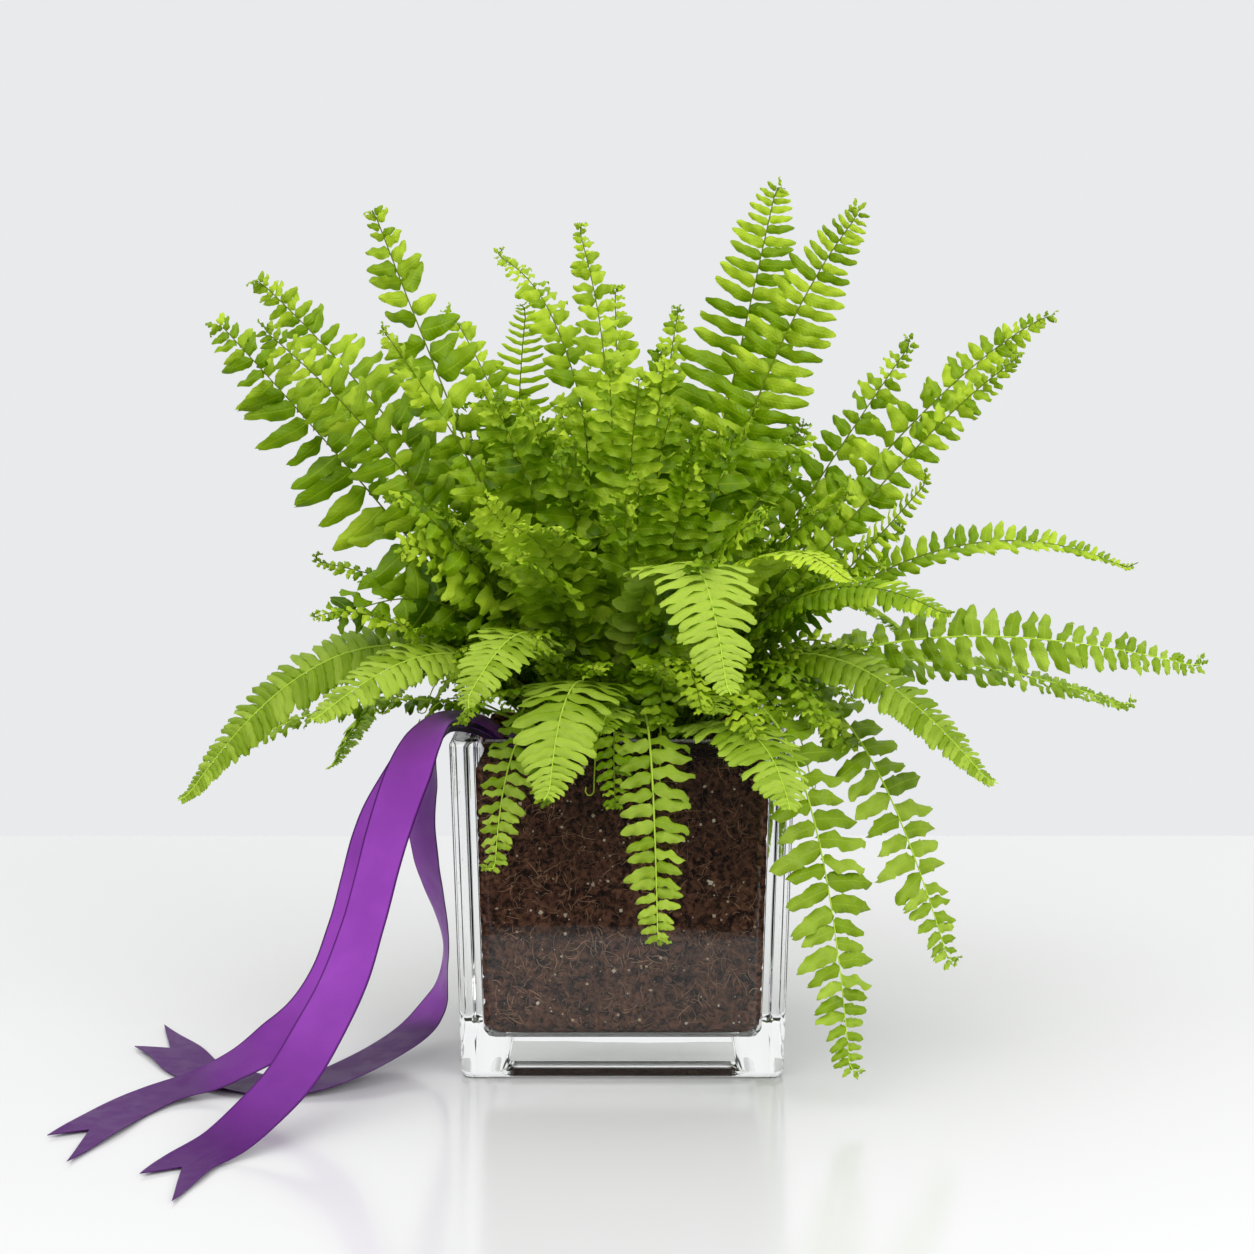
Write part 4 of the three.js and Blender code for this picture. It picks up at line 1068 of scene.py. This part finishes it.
def strip(name, line, rows, cut_back=lambda across: 0.0):
    """A thin ribbon swept along a line; cut_back shapes its free end."""
    points, along_marks, across_marks, painted_light_marks = [], [], [], []
    columns = np.linspace(-1, 1, TAIL_COLUMNS)
    for layer in (1, -1):
        for i in range(rows + 1):
            share = i / rows
            for across in columns:
                reach = share - cut_back(across) / line.length * ramp(0.55, 1, share)
                along, side = line.along(reach), line.across(reach)
                face = np.cross(side, along)
                curl = 0.35 * math.sin(reach * 41) * across * across
                at = line.at(reach) + side * across * RIBBON_WIDTH / 2
                points.append(at + face * (layer * SATIN_THICKNESS / 2 + curl))
                along_marks.append(reach * line.length)
                # how steeply it hangs here, which sets the satin's painted light and shade
                painted_light_marks.append(ramp(0.2, 0.85, abs(along[2])))
                across_marks.append(across)
    faces = []
    layer_size = (rows + 1) * TAIL_COLUMNS
    for i in range(rows):
        for j in range(TAIL_COLUMNS - 1):
            a = i * TAIL_COLUMNS + j
            b = a + TAIL_COLUMNS
            faces.append((a, a + 1, b + 1, b))
            faces.append((a + layer_size, b + layer_size, b + 1 + layer_size, a + 1 + layer_size))
    rim = list(range(TAIL_COLUMNS))
    rim += [i * TAIL_COLUMNS + TAIL_COLUMNS - 1 for i in range(1, rows + 1)]
    rim += [rows * TAIL_COLUMNS + j for j in range(TAIL_COLUMNS - 2, -1, -1)]
    rim += [i * TAIL_COLUMNS for i in range(rows - 1, 0, -1)]
    for k, near in enumerate(rim):
        far = rim[(k + 1) % len(rim)]
        faces.append((far, near, near + layer_size, far + layer_size))
    piece = piece_from(name, points, faces, [SATIN], 50)
    mark(piece, "ribbon_along", along_marks)
    mark(piece, "ribbon_across", across_marks)
    mark(piece, "ribbon_painted_light", painted_light_marks)
    return piece


def tail(node):
    long_side, knots = TAILS[node]
    line = Line(smooth_route([at for at, _ in knots]), smooth_route([side for _, side in knots]))
    name = "satin_" + node.removeprefix("ribbon_") + "_tail"
    piece = strip(name, line, TAIL_STEPS, lambda across: skewed_end(across, long_side))
    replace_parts(piece, node)


def knot():
    """The folded stretch of ribbon inside the rim, in three layers one above the other."""
    low, high = (np.array(corner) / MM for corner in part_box("ribbon_knot"))
    middle = (low + high) / 2
    # a little inside the solid's ends, top and bottom
    near, far = low[0] + 1.6, high[0] - 1.6
    levels = np.linspace(high[2] - 1.2, low[2] + 0.8, 4)
    route = []
    for i, z in enumerate(levels):
        ends = (near, far) if i % 2 == 0 else (far, near)
        for share in (0.0, 0.35, 0.7, 1.0):
            swell = 0.35 * math.sin(share * math.pi)
            route.append((ends[0] + (ends[1] - ends[0]) * share, middle[1], z + swell))
    across = np.tile((0.0, -1.0, 0.0), (len(smooth_route(route)), 1))
    line = Line(smooth_route(route), across)
    piece = strip("satin_fold", line, 90)
    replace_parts(piece, "ribbon_knot")


# ---------------------------------------------------------------- camera, light and stage

CAMERA_AT = (0.002, -1.183, 0.338)
CAMERA_DOWN = 7.1                # degrees that it looks down
TABLE_BACK = 0.456               # the table's far edge
TABLE_FRONT = -0.287             # its near edge, just below the view
TABLE_TOP = -0.0004              # a hair under the foot, so that the glass shows through


def camera():
    data = bpy.data.cameras.new("camera")
    data.lens = 75
    data.sensor_width = 36
    eye = bpy.data.objects.new("camera", data)
    eye.location = CAMERA_AT
    eye.rotation_euler = (math.radians(90 - CAMERA_DOWN), 0, 0)
    bpy.context.scene.collection.objects.link(eye)
    bpy.context.scene.camera = eye


def area_light(name, at, target, size, watts):
    data = bpy.data.lights.new(name, "AREA")
    data.shape = "SQUARE"
    data.size = size
    data.energy = watts
    lamp = bpy.data.objects.new(name, data)
    lamp.location = at
    lamp.rotation_euler = (Vector(target) - Vector(at)).to_track_quat("-Z", "Y").to_euler()
    bpy.context.scene.collection.objects.link(lamp)


def surroundings():
    """A pale even room: what the camera sees of it is plain, what glass shows has some shade."""
    world = bpy.data.worlds.new("pale_room")
    bpy.context.scene.world = world
    world.use_nodes = True
    nodes = Nodes(world.node_tree)
    place = nodes.add("ShaderNodeTexCoord")
    way = nodes.add("ShaderNodeSeparateXYZ")
    nodes.link(place.outputs["Generated"], way.inputs["Vector"])
    sides = nodes.ranged(nodes.maths("ABSOLUTE", way.outputs["X"]), 0.5, 0.95)
    level = nodes.mixed(sides, (0.84, 0.85, 0.86), (0.36, 0.37, 0.38))
    front = nodes.ranged(way.outputs["Y"], -0.75, -0.3, 1, 0)
    level = nodes.mixed(front, level, (0.07, 0.07, 0.073))
    high = nodes.ranged(way.outputs["Z"], 0.1, 0.5)
    shade = nodes.mixed(high, level, (1.02, 1.02, 1.02))
    seen = nodes.add("ShaderNodeLightPath").outputs["Is Camera Ray"]
    colour = nodes.mixed(seen, shade, (0.813, 0.823, 0.838))
    nodes.link(colour, world.node_tree.nodes["Background"].inputs["Color"])
    world.node_tree.nodes["Background"].inputs["Strength"].default_value = 1.0


def table_top():
    mesh = bpy.data.meshes.new("table_top")
    wide = 2.2
    corners = ((-wide, TABLE_FRONT), (wide, TABLE_FRONT), (wide, TABLE_BACK), (-wide, TABLE_BACK))
    mesh.from_pydata([(x, y, TABLE_TOP) for x, y in corners], [], [(0, 1, 2, 3)])
    top = bpy.data.objects.new("table_top", mesh)
    bpy.context.scene.collection.objects.link(top)
    material, _, shader = fresh_material("glossy_white_table")
    shader.inputs["Base Color"].default_value = (0.74, 0.74, 0.745, 1)
    shader.inputs["Roughness"].default_value = 0.16
    mesh.materials.append(material)


# ---------------------------------------------------------------- build

camera()
surroundings()
table_top()
area_light("window", (-0.9, -1.0, 1.6), (0, 0, 0.2), 2.0, 13)
area_light("fill", (1.1, -1.2, 0.8), (0.15, 0, 0.1), 1.2, 14)
bpy.context.scene.view_settings.view_transform = "Standard"

vase()
soil()
soil_fibres()
soil_specks()
for seed, name in enumerate(FRONDS):
    frond_piece(name, seed)
for seed, (quarter_name, first_bearing) in enumerate(
    (("right", -45), ("back", 45), ("left", 135), ("front", 225))
):
    crown_fill(quarter_name, first_bearing, 100 + seed)
knot()
for node in TAILS:
    tail(node)
